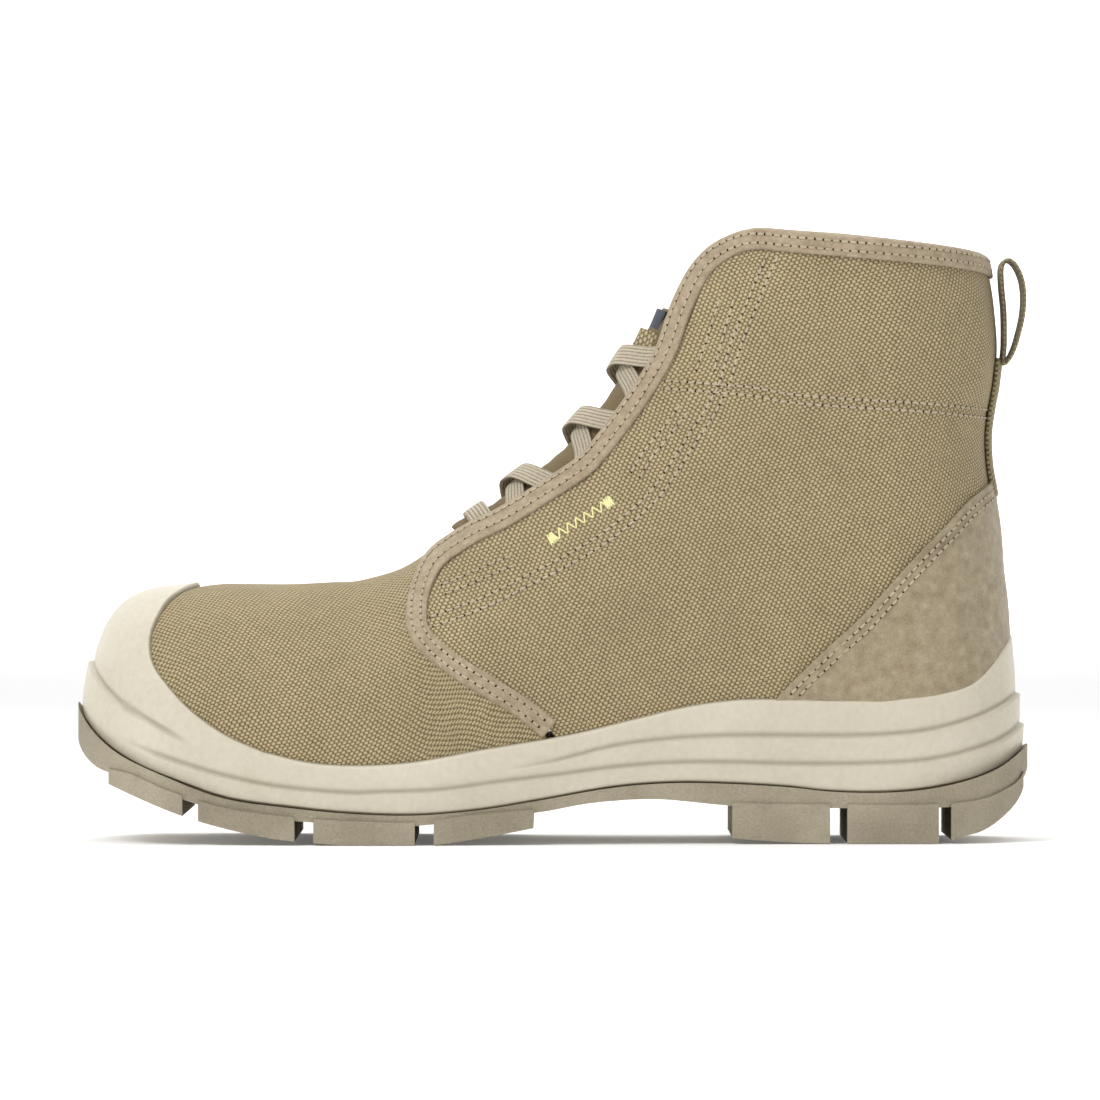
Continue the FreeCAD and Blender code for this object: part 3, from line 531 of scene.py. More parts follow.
def puff(s, z):
    """How far the quarter's canvas stands out: a padded collar roll and slow hand-made unevenness."""
    seam = along(COLLAR_SEAM, s)
    rise = ease(z, seam + 0.5, seam + 11) * (1 - ease(z, top_line(s) - 19, top_line(s) - 5))
    roll = 1.7 * rise * ease(s, 44, 66)
    groove = -0.35 * np.exp(-((z - seam) / 1.6) ** 2) * ease(s, 36, 42)
    slow = 0.28 * np.sin(s * 0.09 + 0.7) * np.sin(z * 0.075 + 1.9) + 0.16 * np.sin(s * 0.21 + z * 0.13)
    return roll * (1 - ease(s, 140, 157)) + groove + slow * ease(z, 55, 75) * (1 - ease(s, 140, 157))


def lining_depth(p):
    """Depth of the lining's face: behind the cap, the collar pad and the stiffener."""
    cap = 2.3 * (1 - ease(p[..., 0], -96, -84))
    collar = 5.2 * ease(p[..., 2], 136, 146) * ease(p[..., 0] - (p[..., 2] - 146) * 0.35, 30, 42)
    heel = 1.6 * ease(p[..., 0], 60, 72) * (1 - ease(p[..., 2], 96, 108))
    return CANVAS + 0.5 + cap + collar + heel


def tongue_depth(p):
    """Height of the tongue over the canvas line, lower at its sides."""
    side = np.abs(p[..., 1] - along(MIDDLE, p[..., 0]))
    return -2.8 - 4.4 * ease(side, 4, 17)


def fan_ray(x, z, lean, angle):
    """Where a ray leans forward from (x, z) and turns sideways to meet the canvas."""
    up = np.stack([-np.sin(lean), np.zeros(np.shape(lean)), np.cos(lean)], -1)
    across = np.array([0.0, 1.0, 0.0])
    start = np.stack([x, along(MIDDLE, x), z], -1)
    return cast(start, up * np.cos(angle)[..., None] + across * np.sin(angle)[..., None])


def fan_edge(outline, x, z):
    """The lean that reaches an outline, for each sideways angle."""
    pairs = []
    for ox, oz in outline:
        reach = math.hypot(ox - x, oz - z)
        pairs.append((math.atan2(float(half_width(ox, oz)), reach), math.atan2(x - ox, oz - z)))
    pairs.sort()
    pairs[0] = (0.0, pairs[0][1])
    return lambda angle: along(pairs, np.minimum(np.abs(angle), pairs[-1][0]))


def arch_grid(outline, rear, widest, rows, columns, end_lean=80):
    """A grid over the forefoot from an outline on the side towards the toe."""
    angles = np.radians(widest) * np.linspace(-1, 1, columns)
    t, a = np.meshgrid(np.linspace(0, 1, rows), angles, indexing="ij")
    x = rear[0] + (-126.0 - rear[0]) * t
    z = rear[1] + (22.0 - rear[1]) * t
    lean = fan_edge(outline, *rear)(a)
    return fan_ray(x, z, lean + (math.radians(end_lean) - lean) * t, a)


SEAM = [(1, 16), (-1, 32), (-9.5, 40.8), (-20.5, 48.6), (-31, 55.6), (-39.0, 62), (-42.6, 68),
        (-43.2, 74), (-42, 82), (-39.5, 88.5), (-37.0, 93.0)]
QUARTER_FRONT = [(3.0, 16), (1, 33), (-8, 42), (-19, 49.9), (-29.6, 57), (-37.4, 63.2), (-40.9, 69),
                 (-41.4, 75), (-40.4, 82.5), (-37.8, 89.4), (-33, 94)]
SIDES = ((-1, "outer"), (1, "inner"))


# ---- rubber wall and toe bumper, one moulding
RIDGE_TOP = [(-148.2, 61.4), (-144, 52.8), (-138, 46), (-130, 40.6), (-119.8, 34.6), (-112, 30.4),
             (-100, 26)]
RIDGE_LOW = [(-150, 41), (-134.6, 32.6), (-124.6, 28.5), (-110, 23.4), (-97.8, 20.2), (-85.3, 17.9),
             (-62.9, 16), (-55.8, 16.3), (-36.3, 17), (-16.8, 19.5), (2.7, 21.8), (19.4, 24),
             (37.9, 25.3), (56.2, 25.4), (71.5, 25), (99, 25), (118, 26.2), (132, 29.4), (143.2, 33.9),
             (152.8, 41.6)]
RIDGE_HEEL = [(-30, 21), (-13.6, 23.4), (1.1, 26.2), (19.4, 30.7), (37.9, 33), (56.2, 33.9), (97, 33.9),
              (115.7, 35.2), (129.4, 38.2), (140.3, 42.6), (151.8, 50.2)]


def wall_columns():
    """Start points, directions at each elevation share and (x, z) tops, right round the boot."""
    rows = 132
    share = np.linspace(0, 1, rows)
    columns = []

    def fanned(psi, side):
        d = np.array([-math.cos(psi), side * math.sin(psi), 0.0])
        start = np.array([-104.0, float(along(MIDDLE, -104)), 12.0])
        top = float(along(TOE_TOP, psi))
        low = math.radians(10)
        for _ in range(6):
            p = cast(start, np.array([d * math.cos(low) + np.array([0, 0, math.sin(low)])]))[0]
            reach = math.hypot(p[0] - start[0], p[1] - start[1])
            low = math.atan2(float(along(BORDER, p[0] * 1.02)) - 3.0 - 12.0, reach)
        phi = low + (top - low) * share
        rays = d * np.cos(phi)[:, None] + np.array([0, 0, 1.0]) * np.sin(phi)[:, None]
        return cast(start, rays)

    def upright(x, away):
        z0 = float(along(BORDER, x)) - 3.0
        z1 = float(along(BUMPER_EDGE[::-1], x)) if x < -91 else float(along(WALL_TOP, x))
        z = z0 + (z1 - z0) * share
        start = np.stack([np.full(rows, x), np.full(rows, float(along(MIDDLE, x))), z], -1)
        return cast(start, np.broadcast_to(away, start.shape))

    def round_heel(turn, side):
        away = np.array([math.sin(turn), side * math.cos(turn), 0.0])
        centre = np.array([BACK_AXIS, float(along(MIDDLE, BACK_AXIS)), 0.0])
        tops = np.array([46.0, 30.0])
        for _ in range(5):
            p = cast(centre + np.array([[0, 0, tops[0]], [0, 0, tops[1]]]), np.array([away, away]))
            tops = np.array([float(along(WALL_TOP, p[0, 0])), float(along(BORDER, p[1, 0] + 2.5)) - 3.0])
        z = tops[1] + (tops[0] - tops[1]) * share
        start = centre + np.stack([np.zeros(rows), np.zeros(rows), z], -1)
        return cast(start, np.broadcast_to(away, start.shape))

    psis = np.linspace(0, math.pi / 2, 74)
    xs = np.linspace(-104, BACK_AXIS, 150)[1:]
    turns = np.linspace(0, math.pi / 2, 46)[1:]
    for side in (-1, 1):
        part = [fanned(p, side) for p in psis]
        part += [upright(x, np.array([0.0, side, 0.0])) for x in xs]
        part += [round_heel(t, side) for t in turns]
        if side == 1:
            part = part[1:-1][::-1]
        columns += part
    return np.array(columns)


def toe_top():
    """The bumper's edge as (azimuth, elevation) pairs seen from inside the toe."""
    pairs = []
    for x, z in BUMPER_EDGE[1:]:
        y = float(half_width(x, z))
        pairs.append((math.atan2(y, -(x + 104)), math.atan2(z - 12, math.hypot(y, x + 104))))
    pairs = sorted(pairs)
    return [(0.0, pairs[0][1])] + [p for p in pairs if p[0] > 0.12]


TOE_TOP = toe_top()


def rubber_wall():
    """The wall and the bumper as one skin with moulded ridges."""
    skin = wall_columns()
    normals = outward(skin)
    x, z = skin[..., 0], skin[..., 2]
    border = along(BORDER, np.clip(x * 1.015, -153, 153))
    level_in = np.concatenate([np.zeros((len(skin), 1)),
                               np.cumsum(np.linalg.norm(np.diff(skin, axis=1), axis=-1), axis=1)], axis=1)
    from_top = level_in[:, -1:] - level_in
    proud = np.full(x.shape, 1.9)
    # shade holds painted shade for the wall's colour: darker just above each ridge step and along the top
    # rim.
    shade = np.zeros(x.shape)
    ridges = ((RIDGE_TOP, 1 - ease(x, -124, -112), 1.0), (RIDGE_LOW, ease(x, -138, -122), 0.9),
              (RIDGE_HEEL, ease(x, -18, 8), 0.9))
    for line, fade, size in ridges:
        over = z - along(line, x)
        step = 1 - ease(over, -0.7, 0.25)
        proud = proud + fade * size * step * (0.35 + 0.95 * np.exp(np.minimum(over, 0) / 7))
        proud = proud - fade * size * (1 - step) * 0.55 * np.exp(-np.maximum(over, 0) / 4.5)
        shade = shade + fade * np.exp(-((over - 0.5) / 0.9) ** 2)
    shade = shade + 1.6 * np.exp(-(from_top / 0.4) ** 2)
    dents = np.exp(-((x + 131) / 5) ** 2 - ((z - 72) / 4) ** 2)
    dents = dents + np.exp(-((x + 120) / 6) ** 2 - ((z - 79) / 3) ** 2)
    proud = proud - 0.35 * dents
    proud = proud + 0.06 * np.sin(x * 0.23 + z * 0.31) * np.sin(z * 0.5)
    edge = np.clip(from_top / 1.5, 0, 1)
    proud = 0.15 + (proud - 0.15) * np.sqrt(1 - (1 - edge) ** 2)
    groove = ease(z, border - 0.4, border + 0.9)
    proud = 0.9 + (proud - 0.9) * groove
    outer = skin + normals * proud[..., None]
    picks = np.linspace(skin.shape[1] - 1, 0, 14).astype(int)
    inner = (skin + normals * 0.08)[:, picks]
    rings = np.concatenate([outer, inner], axis=1)
    closed = np.concatenate([rings, rings[:1]], axis=0)
    made = tube_grid("rubber_wall", closed, closed_ends=False)
    # More painted shade along the join with the outsole; all of it goes into the groove attribute for the
    # wall's colour.
    shade = shade + 1.3 * np.exp(-((z - border) / 0.8) ** 2)
    shade = np.concatenate([shade, np.zeros(inner.shape[:2])], axis=1)
    layer = made.data.attributes.new("groove", "FLOAT", "POINT")
    layer.data.foreach_set("value", np.concatenate([shade, shade[:1]]).astype(np.float32).ravel())
    return made


put(rubber_wall(), "boot", wall_rubber, ("foxing", "toe_bumper"))


# ---- canvas panels
def vamp_relief(p):
    x, y, z = p[..., 0], p[..., 1], p[..., 2]
    wave = 0.35 * np.sin(x * 0.11 + y * 0.05 + 0.4) * np.sin(y * 0.08 + z * 0.06)
    flex = 0.5 * np.exp(-((x + 64 + 0.15 * y) / 5.0) ** 2) * ease(z, 55, 80)
    return (wave - flex) * (1 - ease(-x, 96, 112)) * (1 - ease(x, -52, -42))


def girth_map(points):
    """Cloth coordinates over the forefoot: along the boot, and round each section from the crown."""
    xs = np.linspace(-140, 6, 74)
    turns = np.radians(np.linspace(-110, 110, 111))
    at, turn = np.meshgrid(xs, turns, indexing="ij")
    direction = np.stack([np.zeros(at.shape), np.sin(turn), np.cos(turn)], -1)
    ring = cast(np.stack([at, along(MIDDLE, at), np.full(at.shape, 25.0)], -1), direction)
    steps = np.linalg.norm(np.diff(ring, axis=1), axis=-1)
    girth = np.concatenate([np.zeros((len(xs), 1)), np.cumsum(steps, axis=1)], axis=1)
    girth -= girth[:, 55][:, None]
    x = np.clip(points[..., 0], xs[0], xs[-1] - 0.01)
    i = ((x - xs[0]) / 2.0).astype(int)
    part = (x - xs[i]) / 2.0
    angle = np.arctan2(points[..., 1] - along(MIDDLE, points[..., 0]), points[..., 2] - 25.0)
    place = np.clip((angle - turns[0]) / (turns[1] - turns[0]), 0, 109.99)
    j = place.astype(int)
    share = place - j
    low = girth[i, j] * (1 - share) + girth[i, j + 1] * share
    high = girth[i + 1, j] * (1 - share) + girth[i + 1, j + 1] * share
    return points[..., 0], low * (1 - part) + high * part


vamp_points = arch_grid([(x + 0.3, z) for x, z in resample(SEAM, 15)], (4.0, 14.0), 87, 100, 128)
vamp = shell_object("vamp_canvas_cloth", vamp_points, -CANVAS, vamp_relief(vamp_points),
                    uv=girth_map(vamp_points))
put(vamp, "boot", canvas, ("vamp_canvas",))


def quarter_grid(front, rows, columns, back_gap=0.08, low=24.0):
    """(s, z) on one quarter, from its front line to the heel seam."""
    k = np.linspace(0, 1, rows)
    back_z = low + (COLLAR_BACK - low) * k ** 1.1
    t = np.linspace(0, 1, columns) ** 1.2
    s = front[:, :1] + (UNROLLED_BACK - back_gap - front[:, :1]) * t
    z = front[:, 1:] + (back_z[:, None] - front[:, 1:]) * t
    return s, z


def quarter(side, name):
    line = resample(QUARTER_FRONT[:10] + FACING_EDGE[11:], 96)
    front = inset(line, 0.3 + 0.9 * ease(np.linspace(0, 32, 96), 11, 16))
    s, z = quarter_grid(front, 96, 110)
    points = unrolled(s, z, side)
    made = shell_object("quarter_cloth_" + name, points, -CANVAS, puff(s, z), uv=(s, z))
    put(made, "boot", canvas, ("quarter_" + name,))


def quarter_lining(side, name):
    line = resample(QUARTER_FRONT[:10] + FACING_EDGE[11:], 60)
    front = inset(line, 0.6 + 5.0 * ease(np.linspace(0, 32, 60), 10, 17))
    s, z = quarter_grid(front, 60, 70, 0.02)
    points = unrolled(s, z, side)
    depth = lining_depth(points) - 0.4 * np.sin(z * 0.35) * ease(z, 140, 150) * (1 - ease(z, 176, 182))
    made = shell_object("quarter_lining_cloth_" + name, points, -depth - LINING, -depth, uv=(s, z))
    put(made, "boot", lining_cloth, ("quarter_lining_" + name, "collar_padding"))


for side, name in SIDES:
    quarter(side, name)
    quarter_lining(side, name)
lining_points = arch_grid([(x + 0.6, z) for x, z in resample(SEAM, 15)], (4.0, 14.0), 84, 46, 60)
vamp_lining = shell_object("vamp_lining_cloth", lining_points, -lining_depth(lining_points) - LINING,
                           -lining_depth(lining_points))
put(vamp_lining, "boot", lining_cloth, ("vamp_lining",))


# ---- folded trim along the facings and the collar
def edge_line(count):
    """The trim's outer edge on one side, then back along the top line to the heel."""
    s = RIM_START + (UNROLLED_BACK - 0.4 - RIM_START) * np.arange(1, 10) / 9
    return resample(FACING_EDGE + list(zip(s, top_line(s))), count)


def laid(line, side, height):
    """A line of (s, z) laid over the canvas at a height, with its normals."""
    points = unrolled(line[:, 0], line[:, 1], side)
    normals = outward(points)
    return points + normals * np.reshape(height, (-1, 1)), normals


def folded_trim(side, name):
    """The trim: a strip sewn on the face, folded round the edge and down the back."""
    count = 300
    line = edge_line(count)
    at = inset(line, 2.0)
    base = unrolled(at[:, 0], at[:, 1], side)
    behind = np.clip(lining_depth(base) + LINING + 0.3, 2.6, 9.5)
    bulge = puff(at[:, 0], at[:, 1])
    rise = 0.6 + np.maximum(bulge, 0)
    back = np.minimum(behind, 2.6 + 6.9 * ease(at[:, 0], 38, 52))
    middle, half = (1.3 - back) / 2 + 0.1, (1.5 + back) / 2
    profile = [(TRIM_WIDTH, rise - 0.5), (TRIM_WIDTH - 0.1, rise + 0.35), (TRIM_WIDTH - 0.5, rise + 0.62),
               (6.0, rise + 0.72), (4.6, rise + 0.78), (3.2, rise + 0.84), (2.0, rise + 0.86)]
    for turn in np.radians(np.arange(-70, 81, 15)):
        reach = 1.4 + 0.5 * ease(half, 2, 4)
        profile.append((1.6 - reach * math.cos(turn), middle - half * math.sin(turn)))
    profile += [(2.5, -back - 0.3), (5.5, -back - 0.1), (5.6, -back + 0.7), (2.6, -back + 0.9)]
    profile += [(1.4, middle), (2.2, rise - 0.45)]
    rings = []
    for across, height in profile:
        rings.append(laid(inset(line, across), side, height)[0])
    made = tube_grid("folded_trim_" + name, np.stack(rings, 1))
    put(made, "boot", trim_cloth, ("edge_trim_" + name,))


for side, name in SIDES:
    folded_trim(side, name)


# ---- heel counter, strap and loop
def counter_grid(rows, columns):
    """The counter's (s, z) and side, from one front edge round the heel to the other."""
    t = np.linspace(-1, 1, columns)
    s = UNROLLED_BACK - np.abs(t) * (UNROLLED_BACK - 66.5)
    x = np.where(s < BACK_AXIS, s, BACK_AXIS + BACK_TURN * np.sin((s - BACK_AXIS) / BACK_TURN))
    low = along(WALL_TOP, x) - 1.6
    high = np.maximum(along(COUNTER_EDGE, s), low + 0.6)
    share = np.linspace(0, 1, rows)[:, None]
    z = low + (high - low) * share
    side = np.where(t < 0, -1.0, 1.0)
    return np.broadcast_to(s, z.shape), z, np.broadcast_to(side, z.shape)


counter_s, counter_z, counter_side = counter_grid(60, 150)
counter_points = unrolled(counter_s, counter_z, counter_side)
soft = 0.18 * np.sin(counter_s * 0.16) * np.sin(counter_z * 0.12)
soft = soft + 0.12 * np.sin(counter_s * 0.37 + counter_z * 0.29)
counter = shell_object("heel_counter_suede", counter_points, 0.15, 1.35 + soft)
put(counter, "boot", suede, ("heel_counter",))

STRAP_HALF = 10
strap_z, strap_t = np.meshgrid(np.linspace(110, 154.5, 46), np.linspace(-1, 1, 15), indexing="ij")
strap_s = UNROLLED_BACK - np.abs(strap_t) * STRAP_HALF
strap_points = unrolled(strap_s, strap_z, np.where(strap_t < 0, -1.0, 1.0))
strap_high = 2.0 - 0.5 * np.abs(strap_t) ** 6
strap = shell_object("back_strap_webbing", strap_points, 0.4 * np.ones(strap_t.shape), strap_high,
                     uv=(strap_z, strap_t * STRAP_HALF))
put(strap, "boot", webbing, ("back_strap",))

LOOP = [(144.7, 152.6), (147.2, 155.6), (149.4, 162.0), (151.0, 170.0), (150.8, 178.0), (148.6, 183.8),
        (146.0, 185.8), (144.1, 184.0), (144.0, 178.4), (144.8, 169.0), (144.9, 159.0)]


def webbing_loop():
    """The pull loop: flat webbing round a closed line."""
    points = np.array(LOOP + LOOP[:1], float)
    knots = np.concatenate([[0], np.cumsum(np.linalg.norm(np.diff(points, axis=0), axis=1))])

    def wrap(v):
        """The keys of one coordinate, with a turn before and a turn after."""
        before = [(k - knots[-1], c) for k, c in zip(knots[:-1], v[:-1])]
        after = [(k + knots[-1], c) for k, c in zip(knots[1:], v[1:])]
        return before + list(zip(knots, v)) + after

    fine = np.linspace(0, knots[-1], 97)
    path = np.stack([along(wrap(points[:, 0]), fine), along(wrap(points[:, 1]), fine)], -1)
    tangent = np.gradient(path, axis=0)
    tangent[0] = tangent[-1] = tangent[0] + tangent[-1]
    tangent /= np.linalg.norm(tangent, axis=1, keepdims=True)
    normal = np.stack([tangent[:, 1], -tangent[:, 0]], -1)
    outline = [(-10, 0), (-9.7, 0.5), (-9, 0.62)] + [(y, 0.62) for y in np.linspace(-8, 8, 9)]
    outline += [(9, 0.62), (9.7, 0.5), (10, 0)]
    outline += [(-y, -h) for y, h in outline[1:-1]]
    rings = []
    for (px, pz), (nx, nz) in zip(path, normal):
        rings.append([(px + nx * h, y - 1.4, pz + nz * h) for y, h in outline])
    return tube_grid("pull_loop_webbing", rings, closed_ends=False)


put(webbing_loop(), "loop", webbing, ("pull_loop",))


# ---- tongue
TONGUE_LENGTH = 95
PAD_HALF = 2.8


def tongue_grid(low, high, half, rows, columns):
    """A grid over the tongue, from its lower to its upper share."""
    t, y = np.meshgrid(np.linspace(low, high, rows), half * np.linspace(-1, 1, columns), indexing="ij")
    return crown_offset(-33.5 + 65.5 * t, y), t, y


tongue_points, tongue_t, tongue_y = tongue_grid(0.02, 1.0, 23.0, 90, 60)
rounding = np.sqrt(np.maximum(0, 1 - np.abs(tongue_y / 23.3) ** 4))
rounding = rounding * np.sqrt(np.minimum(1, (1.004 - tongue_t) / 0.05))
ribs = 0.25 * np.abs(np.sin(tongue_t * 46))
arch = np.exp(-((tongue_points[..., 0] + 31.5) / 6.0) ** 2) * (1 - ease(np.abs(tongue_y), 3, 10))
depth = tongue_depth(tongue_points) + 0.9 + 2.2 * arch
middle = depth - PAD_HALF
tongue = shell_object("tongue_padded", tongue_points, middle - PAD_HALF * rounding,
                      middle + (PAD_HALF + ribs) * rounding, uv=(tongue_y, tongue_t * TONGUE_LENGTH))
put(tongue, "tongue", tongue_cloth, ("tongue_face", "tongue_padding", "tongue_lining"))

patch_points, patch_t, patch_y = tongue_grid(0.955, 0.995, 9.0, 14, 30)
patch_depth = tongue_depth(patch_points)
patch = shell_object("tongue_patch_plain", patch_points, patch_depth + 0.1, patch_depth + 0.8,
                     uv=(patch_y, patch_t * TONGUE_LENGTH))
put(patch, "tongue", patch_cloth, ("tongue_patch",))

keeper_points, keeper_t, keeper_y = tongue_grid(0.91, 0.95, 10.0, 12, 40)
keeper_lift = tongue_depth(keeper_points) + 0.45 + 2.0 * (1 - ease(np.abs(keeper_y), 2, 8))
keeper = shell_object("lace_keeper_canvas", keeper_points, keeper_lift, keeper_lift + 0.8,
                      uv=(keeper_y, keeper_t * TONGUE_LENGTH))
put(keeper, "tongue", canvas, ("lace_keeper",))


# ---- lace
LACE_WIDTH = 7.6
LACE_THICKNESS = 1.3
LACE_REACH = 19.5     # from the middle of the throat to the loops


def ribbon(name, points, normals, width, thickness):
    """A flat soft-edged band along points, with its flat side towards the normals."""
    tangent = np.gradient(points, axis=0)
    tangent /= np.linalg.norm(tangent, axis=1, keepdims=True)
    across = np.cross(tangent, normals)
    across /= np.linalg.norm(across, axis=1, keepdims=True)
    up = np.cross(across, tangent)
    width = np.broadcast_to(width, len(points))
    turn = np.linspace(0, 2 * math.pi, 29)[:-1]
    c = np.sign(np.cos(turn)) * np.abs(np.cos(turn)) ** 0.7
    s = np.sign(np.sin(turn)) * np.abs(np.sin(turn)) ** 0.45
    rings = points[:, None] + across[:, None] * (width[:, None] / 2 * c)[..., None] \
        + up[:, None] * (thickness / 2 * s)[None, :, None]
    return tube_grid(name, rings)


def lace_strand(x0, x1, side, over):
    """The middle line of one crossing, its normals and its widths."""
    t = np.linspace(0, 1, 64)
    y = LACE_REACH * (1 - 2 * t) * side
    base = crown_offset(x0 + (x1 - x0) * t, y)
    out = outward(base)
    bump = 1 - ease(np.abs(y), 2, 15)
    lift = -4.7 + (4.5 + 0.9 * (x1 == x0) + (1.9 + 1.3 * ease(x1, -20, 10)) * over) * bump
    sway = np.stack([0.35 * np.sin(t * 9 + side), np.zeros(64), np.zeros(64)], -1)
    return base + out * lift[:, None] + sway, out, LACE_WIDTH * (1.0 - 0.35 * ease(np.abs(y), 13, 19))


def lace_group(name, strands, body, node):
    """Several crossings as one piece."""
    parts = []
    for k, (x0, x1, side, over) in enumerate(strands):
        points, out, width = lace_strand(x0, x1, side, over)
        parts.append(ribbon(name if k == 0 else name + "_part", points, out, width, LACE_THICKNESS))
    merge(parts)
    put(parts[0], body, lace_cloth, (node,))


def merge(parts):
    if len(parts) > 1:
        with bpy.context.temp_override(active_object=parts[0], selected_editable_objects=parts):
            bpy.ops.object.join()


crossings = [(-25.0, -25.0, -1, 0)]
for x0, x1 in ((-19.0, -3.0), (3.0, 15.0)):
    crossings += [(x0, x1, -1, 0), (x0, x1, 1, 1)]
lace_group("lace_crossings", crossings, "boot", "lace")
lace_group("lace_top_crossing", [(18.5, 27.0, -1, 0), (18.5, 27.0, 1, 1)], "tongue", "lace_top")


# ---- stitches
class Stitches:
    """Capsule stitches and small dark capsules of painted shade at their needle holes, gathered into one
    mesh.
    """

    def __init__(self):
        self.vertices = []
        self.faces = []
        self.kinds = []

    def capsule(self, a, b, up, radius, flat, kind, sides=6):
        along_it = (b - a) / np.linalg.norm(b - a)
        across = np.cross(along_it, up)
        across /= np.linalg.norm(across)
        up = np.cross(across, along_it)
        first = len(self.vertices)
        for share, girth in ((0.0, 0.45), (0.14, 0.95), (0.5, 1.1), (0.86, 0.95), (1.0, 0.45)):
            centre = a + (b - a) * share
            for k in range(sides):
                turn = 2 * math.pi * k / sides
                offset = across * math.cos(turn) + up * math.sin(turn) * flat
                self.vertices.append(centre + offset * radius * girth)
        for ring in range(4):
            for k in range(sides):
                i, j = first + ring * sides + k, first + ring * sides + (k + 1) % sides
                self.faces.append([i, j, j + sides, i + sides])
                self.kinds.append(kind)
        self.faces.append([first + k for k in range(sides)][::-1])
        self.faces.append([first + 4 * sides + k for k in range(sides)])
        self.kinds += [kind, kind]

    def row(self, points, normals, pitch=2.7, share=0.8, radius=0.36):
        """Stitches along a line of points."""
        steps = np.linalg.norm(np.diff(points, axis=0), axis=1)
        length = np.concatenate([[0], np.cumsum(steps)])
        count = max(2, int(length[-1] / pitch))
        marks = np.linspace(0, length[-1], count + 1)

        def pick(values, at):
            return np.array([np.interp(at, length, values[:, k]) for k in range(3)])
        for start, end in zip(marks[:-1], marks[1:]):
            gap = (end - start) * (1 - share) / 2
            a, b = pick(points, start + gap), pick(points, end - gap)
            up = pick(normals, (start + end) / 2)
            lift = up * RANDOM.uniform(-0.08, 0.1)
            self.capsule(a + lift, b + lift, up, radius * RANDOM.uniform(0.85, 1.1), 0.75, 0)
            # A small dark capsule at each needle hole paints the shade in the hole.
            hole = pick(points, start)
            side = (b - a) / np.linalg.norm(b - a) * 0.34
            self.capsule(hole - side, hole + side, up, 0.34 * RANDOM.uniform(0.6, 1.15), 0.22, 1)

    def finish(self, name, materials):
        made = new_object(name, self.vertices, self.faces)
        for material in materials:
            made.data.materials.append(material)
        made.data.polygons.foreach_set("material_index", self.kinds)
        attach(made, "boot")


def on_quarter(line, side, extra):
    """A line of (s, z) laid on the quarter's canvas, with its relief."""
    return laid(line, side, puff(line[:, 0], line[:, 1]) + extra)


def stitch_panels(side, name):
    """Every seam's stitches on one side."""
    work = Stitches()
    long_line = resample(LONG_SEAM, 200)
    collar = resample(COLLAR_SEAM[1:-1] + [(164, 136.3)], 160)
    lines = [inset(long_line, d) for d in (-1.6, 1.6)]
    lines += [inset(collar, d) for d in (-1.3, 1.3)]
    for pairs in ([(-34.7, 80.6), (-12.3, 89.8)],
                  [(26.4, 116.8), (30.6, 123.8), (34.7, 128.6), (42.1, 138.2)]):
        short = resample(pairs, 60)
        lines += [inset(short, d) for d in (-1.6, 1.6)]
    for pairs in ([(45.6, 150.1), (53.6, 172.8)], [(51.4, 150.1), (58.1, 172.8)]):
        lines.append(resample(pairs, 40))
    for line in lines:
        work.row(*on_quarter(line, side, 0.12))
    for distance, over in ((2.2, 0.95), (5.0, 0.86)):
        trim = edge_line(420)[4:-6]
        inner = inset(trim, distance)
        work.row(*laid(inner, side, 0.6 + np.maximum(puff(inner[:, 0], inner[:, 1]), 0) + over))
    s = np.linspace(68, 157, 150)
    line = np.stack([s, along(COUNTER_EDGE, s)], -1)
    for distance in (2.3, 4.6):
        inner = inset(line, distance)
        inner = inner[inner[:, 1] > along(WALL_TOP, np.minimum(inner[:, 0], 145)) + 1.0]
        work.row(*laid(inner, side, 1.5))
    work.finish("stitching_" + name, (thread, needle_hole_shade))


def bartack(side, name):
    """A dense zigzag that locks the facing."""
    work = Stitches()
    start, end = np.array([-1.1, 96.0]), np.array([18.7, 108.8])
    run = end - start
    turn = np.array([-run[1], run[0]]) / np.linalg.norm(run)
    marks = [start + turn * 1.6 * (1 if k % 2 else -1) + run * (k / 15) for k in range(16)]
    for k in (0, 1):
        centre = start if k == 0 else end
        marks_here = [centre + turn * 1.9 * (1 if j % 2 else -1) + run * (j * 0.017) * (1 - 2 * k)
                      for j in range(7)]
        marks = (marks_here[::-1] + marks) if k == 0 else (marks + marks_here)
    line = np.array(marks)
    points, normals = on_quarter(line, side, 0.2)
    for a, b, up in zip(points[:-1], points[1:], normals[:-1]):
        work.capsule(a, b, up, 0.27, 0.8, 0)
    work.finish("bartack_" + name, (yellow,))


for side, name in SIDES:
    stitch_panels(side, name)
    bartack(side, name)


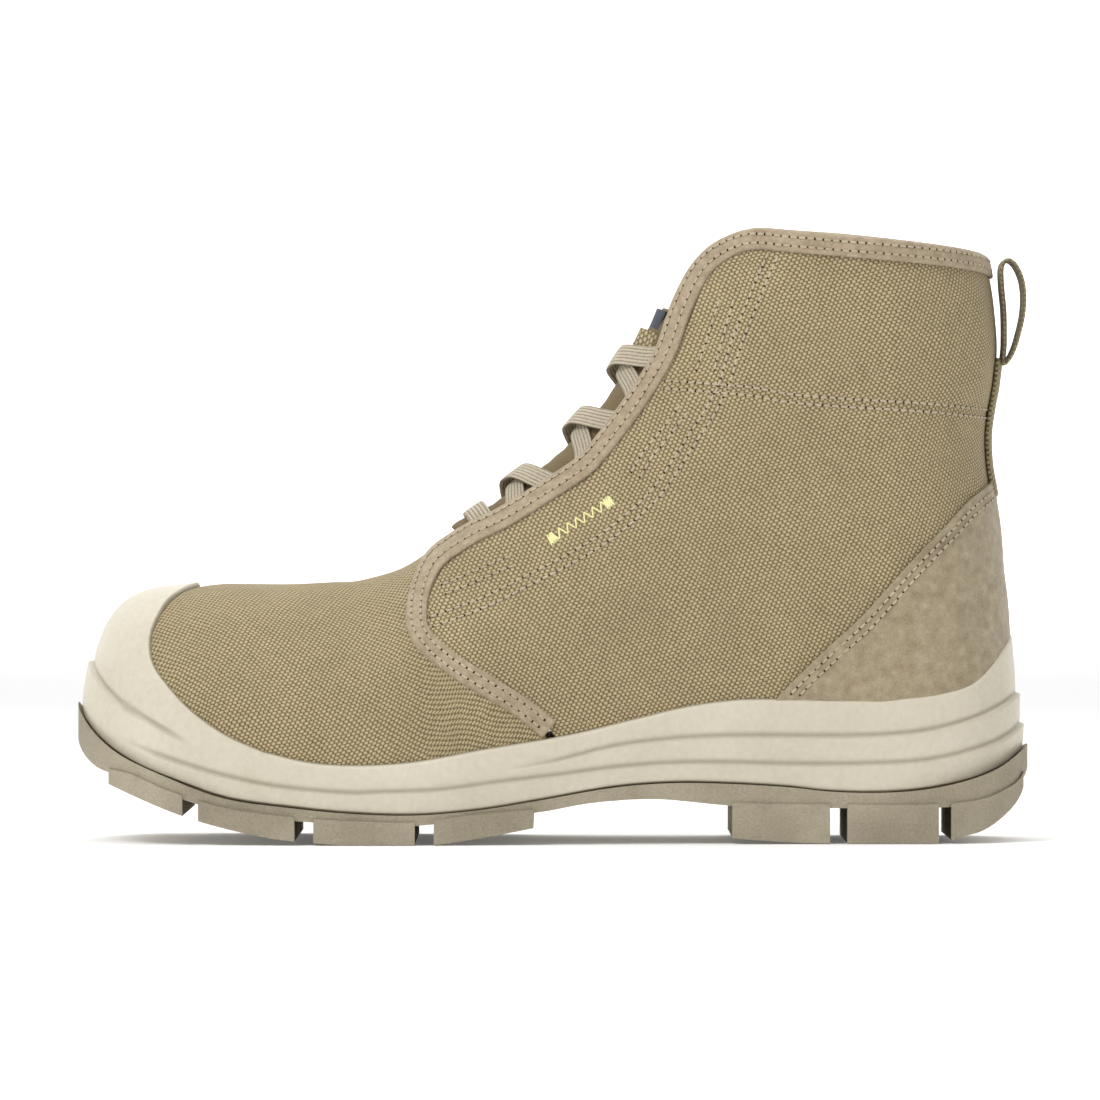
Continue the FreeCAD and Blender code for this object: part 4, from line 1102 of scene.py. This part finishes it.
# ---- camera, light and floor
def add_light(name, place, aim, size, power):
    data = bpy.data.lights.new(name, "AREA")
    data.shape = "SQUARE"
    data.size = size
    data.energy = power
    made = placed(name, data)
    made.location = place
    made.rotation_euler = (Vector(aim) - Vector(place)).to_track_quat("-Z", "Y").to_euler()


def stage_plane(name, corners, shade, glow, roughness, specular):
    """A plain plane that isn't part of the boot, glowing white."""
    mesh = bpy.data.meshes.new(name)
    mesh.from_pydata(corners, [], [(0, 1, 2, 3)])
    made = placed(name, mesh)
    look = Nodes(name, roughness, specular)
    look.shader.inputs["Base Color"].default_value = (shade, shade, shade, 1)
    look.shader.inputs["Emission Color"].default_value = (1, 1, 1, 1)
    look.shader.inputs["Emission Strength"].default_value = glow
    mesh.materials.append(look.material)
    return made


camera_data = bpy.data.cameras.new("camera")
camera_data.lens = 307.0
camera = placed("camera", camera_data)
CAMERA_PLACE = (-0.0008, -3.015, 0.110)
CAMERA_AIM = (-0.0008, 0, 0.0928)
camera.location = CAMERA_PLACE
camera.rotation_euler = (Vector(CAMERA_AIM) - camera.location).to_track_quat("-Z", "Y").to_euler()
camera_data.clip_start, camera_data.clip_end = 0.05, 20.0
bpy.context.scene.camera = camera

floor = stage_plane("floor", [(-4, -4, 0), (4, -4, 0), (4, 4, 0), (-4, 4, 0)], 0.97, 0.1, 0.9, 0.1)
floor.location.z = -0.0002
stage_plane("backdrop", [(-6, 4, -1), (6, 4, -1), (6, 4, 7), (-6, 4, 7)], 0.8, 1.0, 1.0, 0.0)

world = bpy.data.worlds.new("studio")
world.use_nodes = True
world.node_tree.nodes["Background"].inputs[0].default_value = (1, 1, 1, 1)
world.node_tree.nodes["Background"].inputs[1].default_value = 0.42
bpy.context.scene.world = world
add_light("key", (-0.72, -0.95, 1.38), (-0.03, 0, 0.06), 0.7, 16.5)
add_light("fill", (1.0, -1.2, 0.5), (0, 0, 0.08), 1.0, 2.2)
add_light("top", (0.1, 0.3, 1.4), (0, 0, 0.08), 1.2, 8.5)
bpy.context.scene.view_settings.view_transform = "Standard"
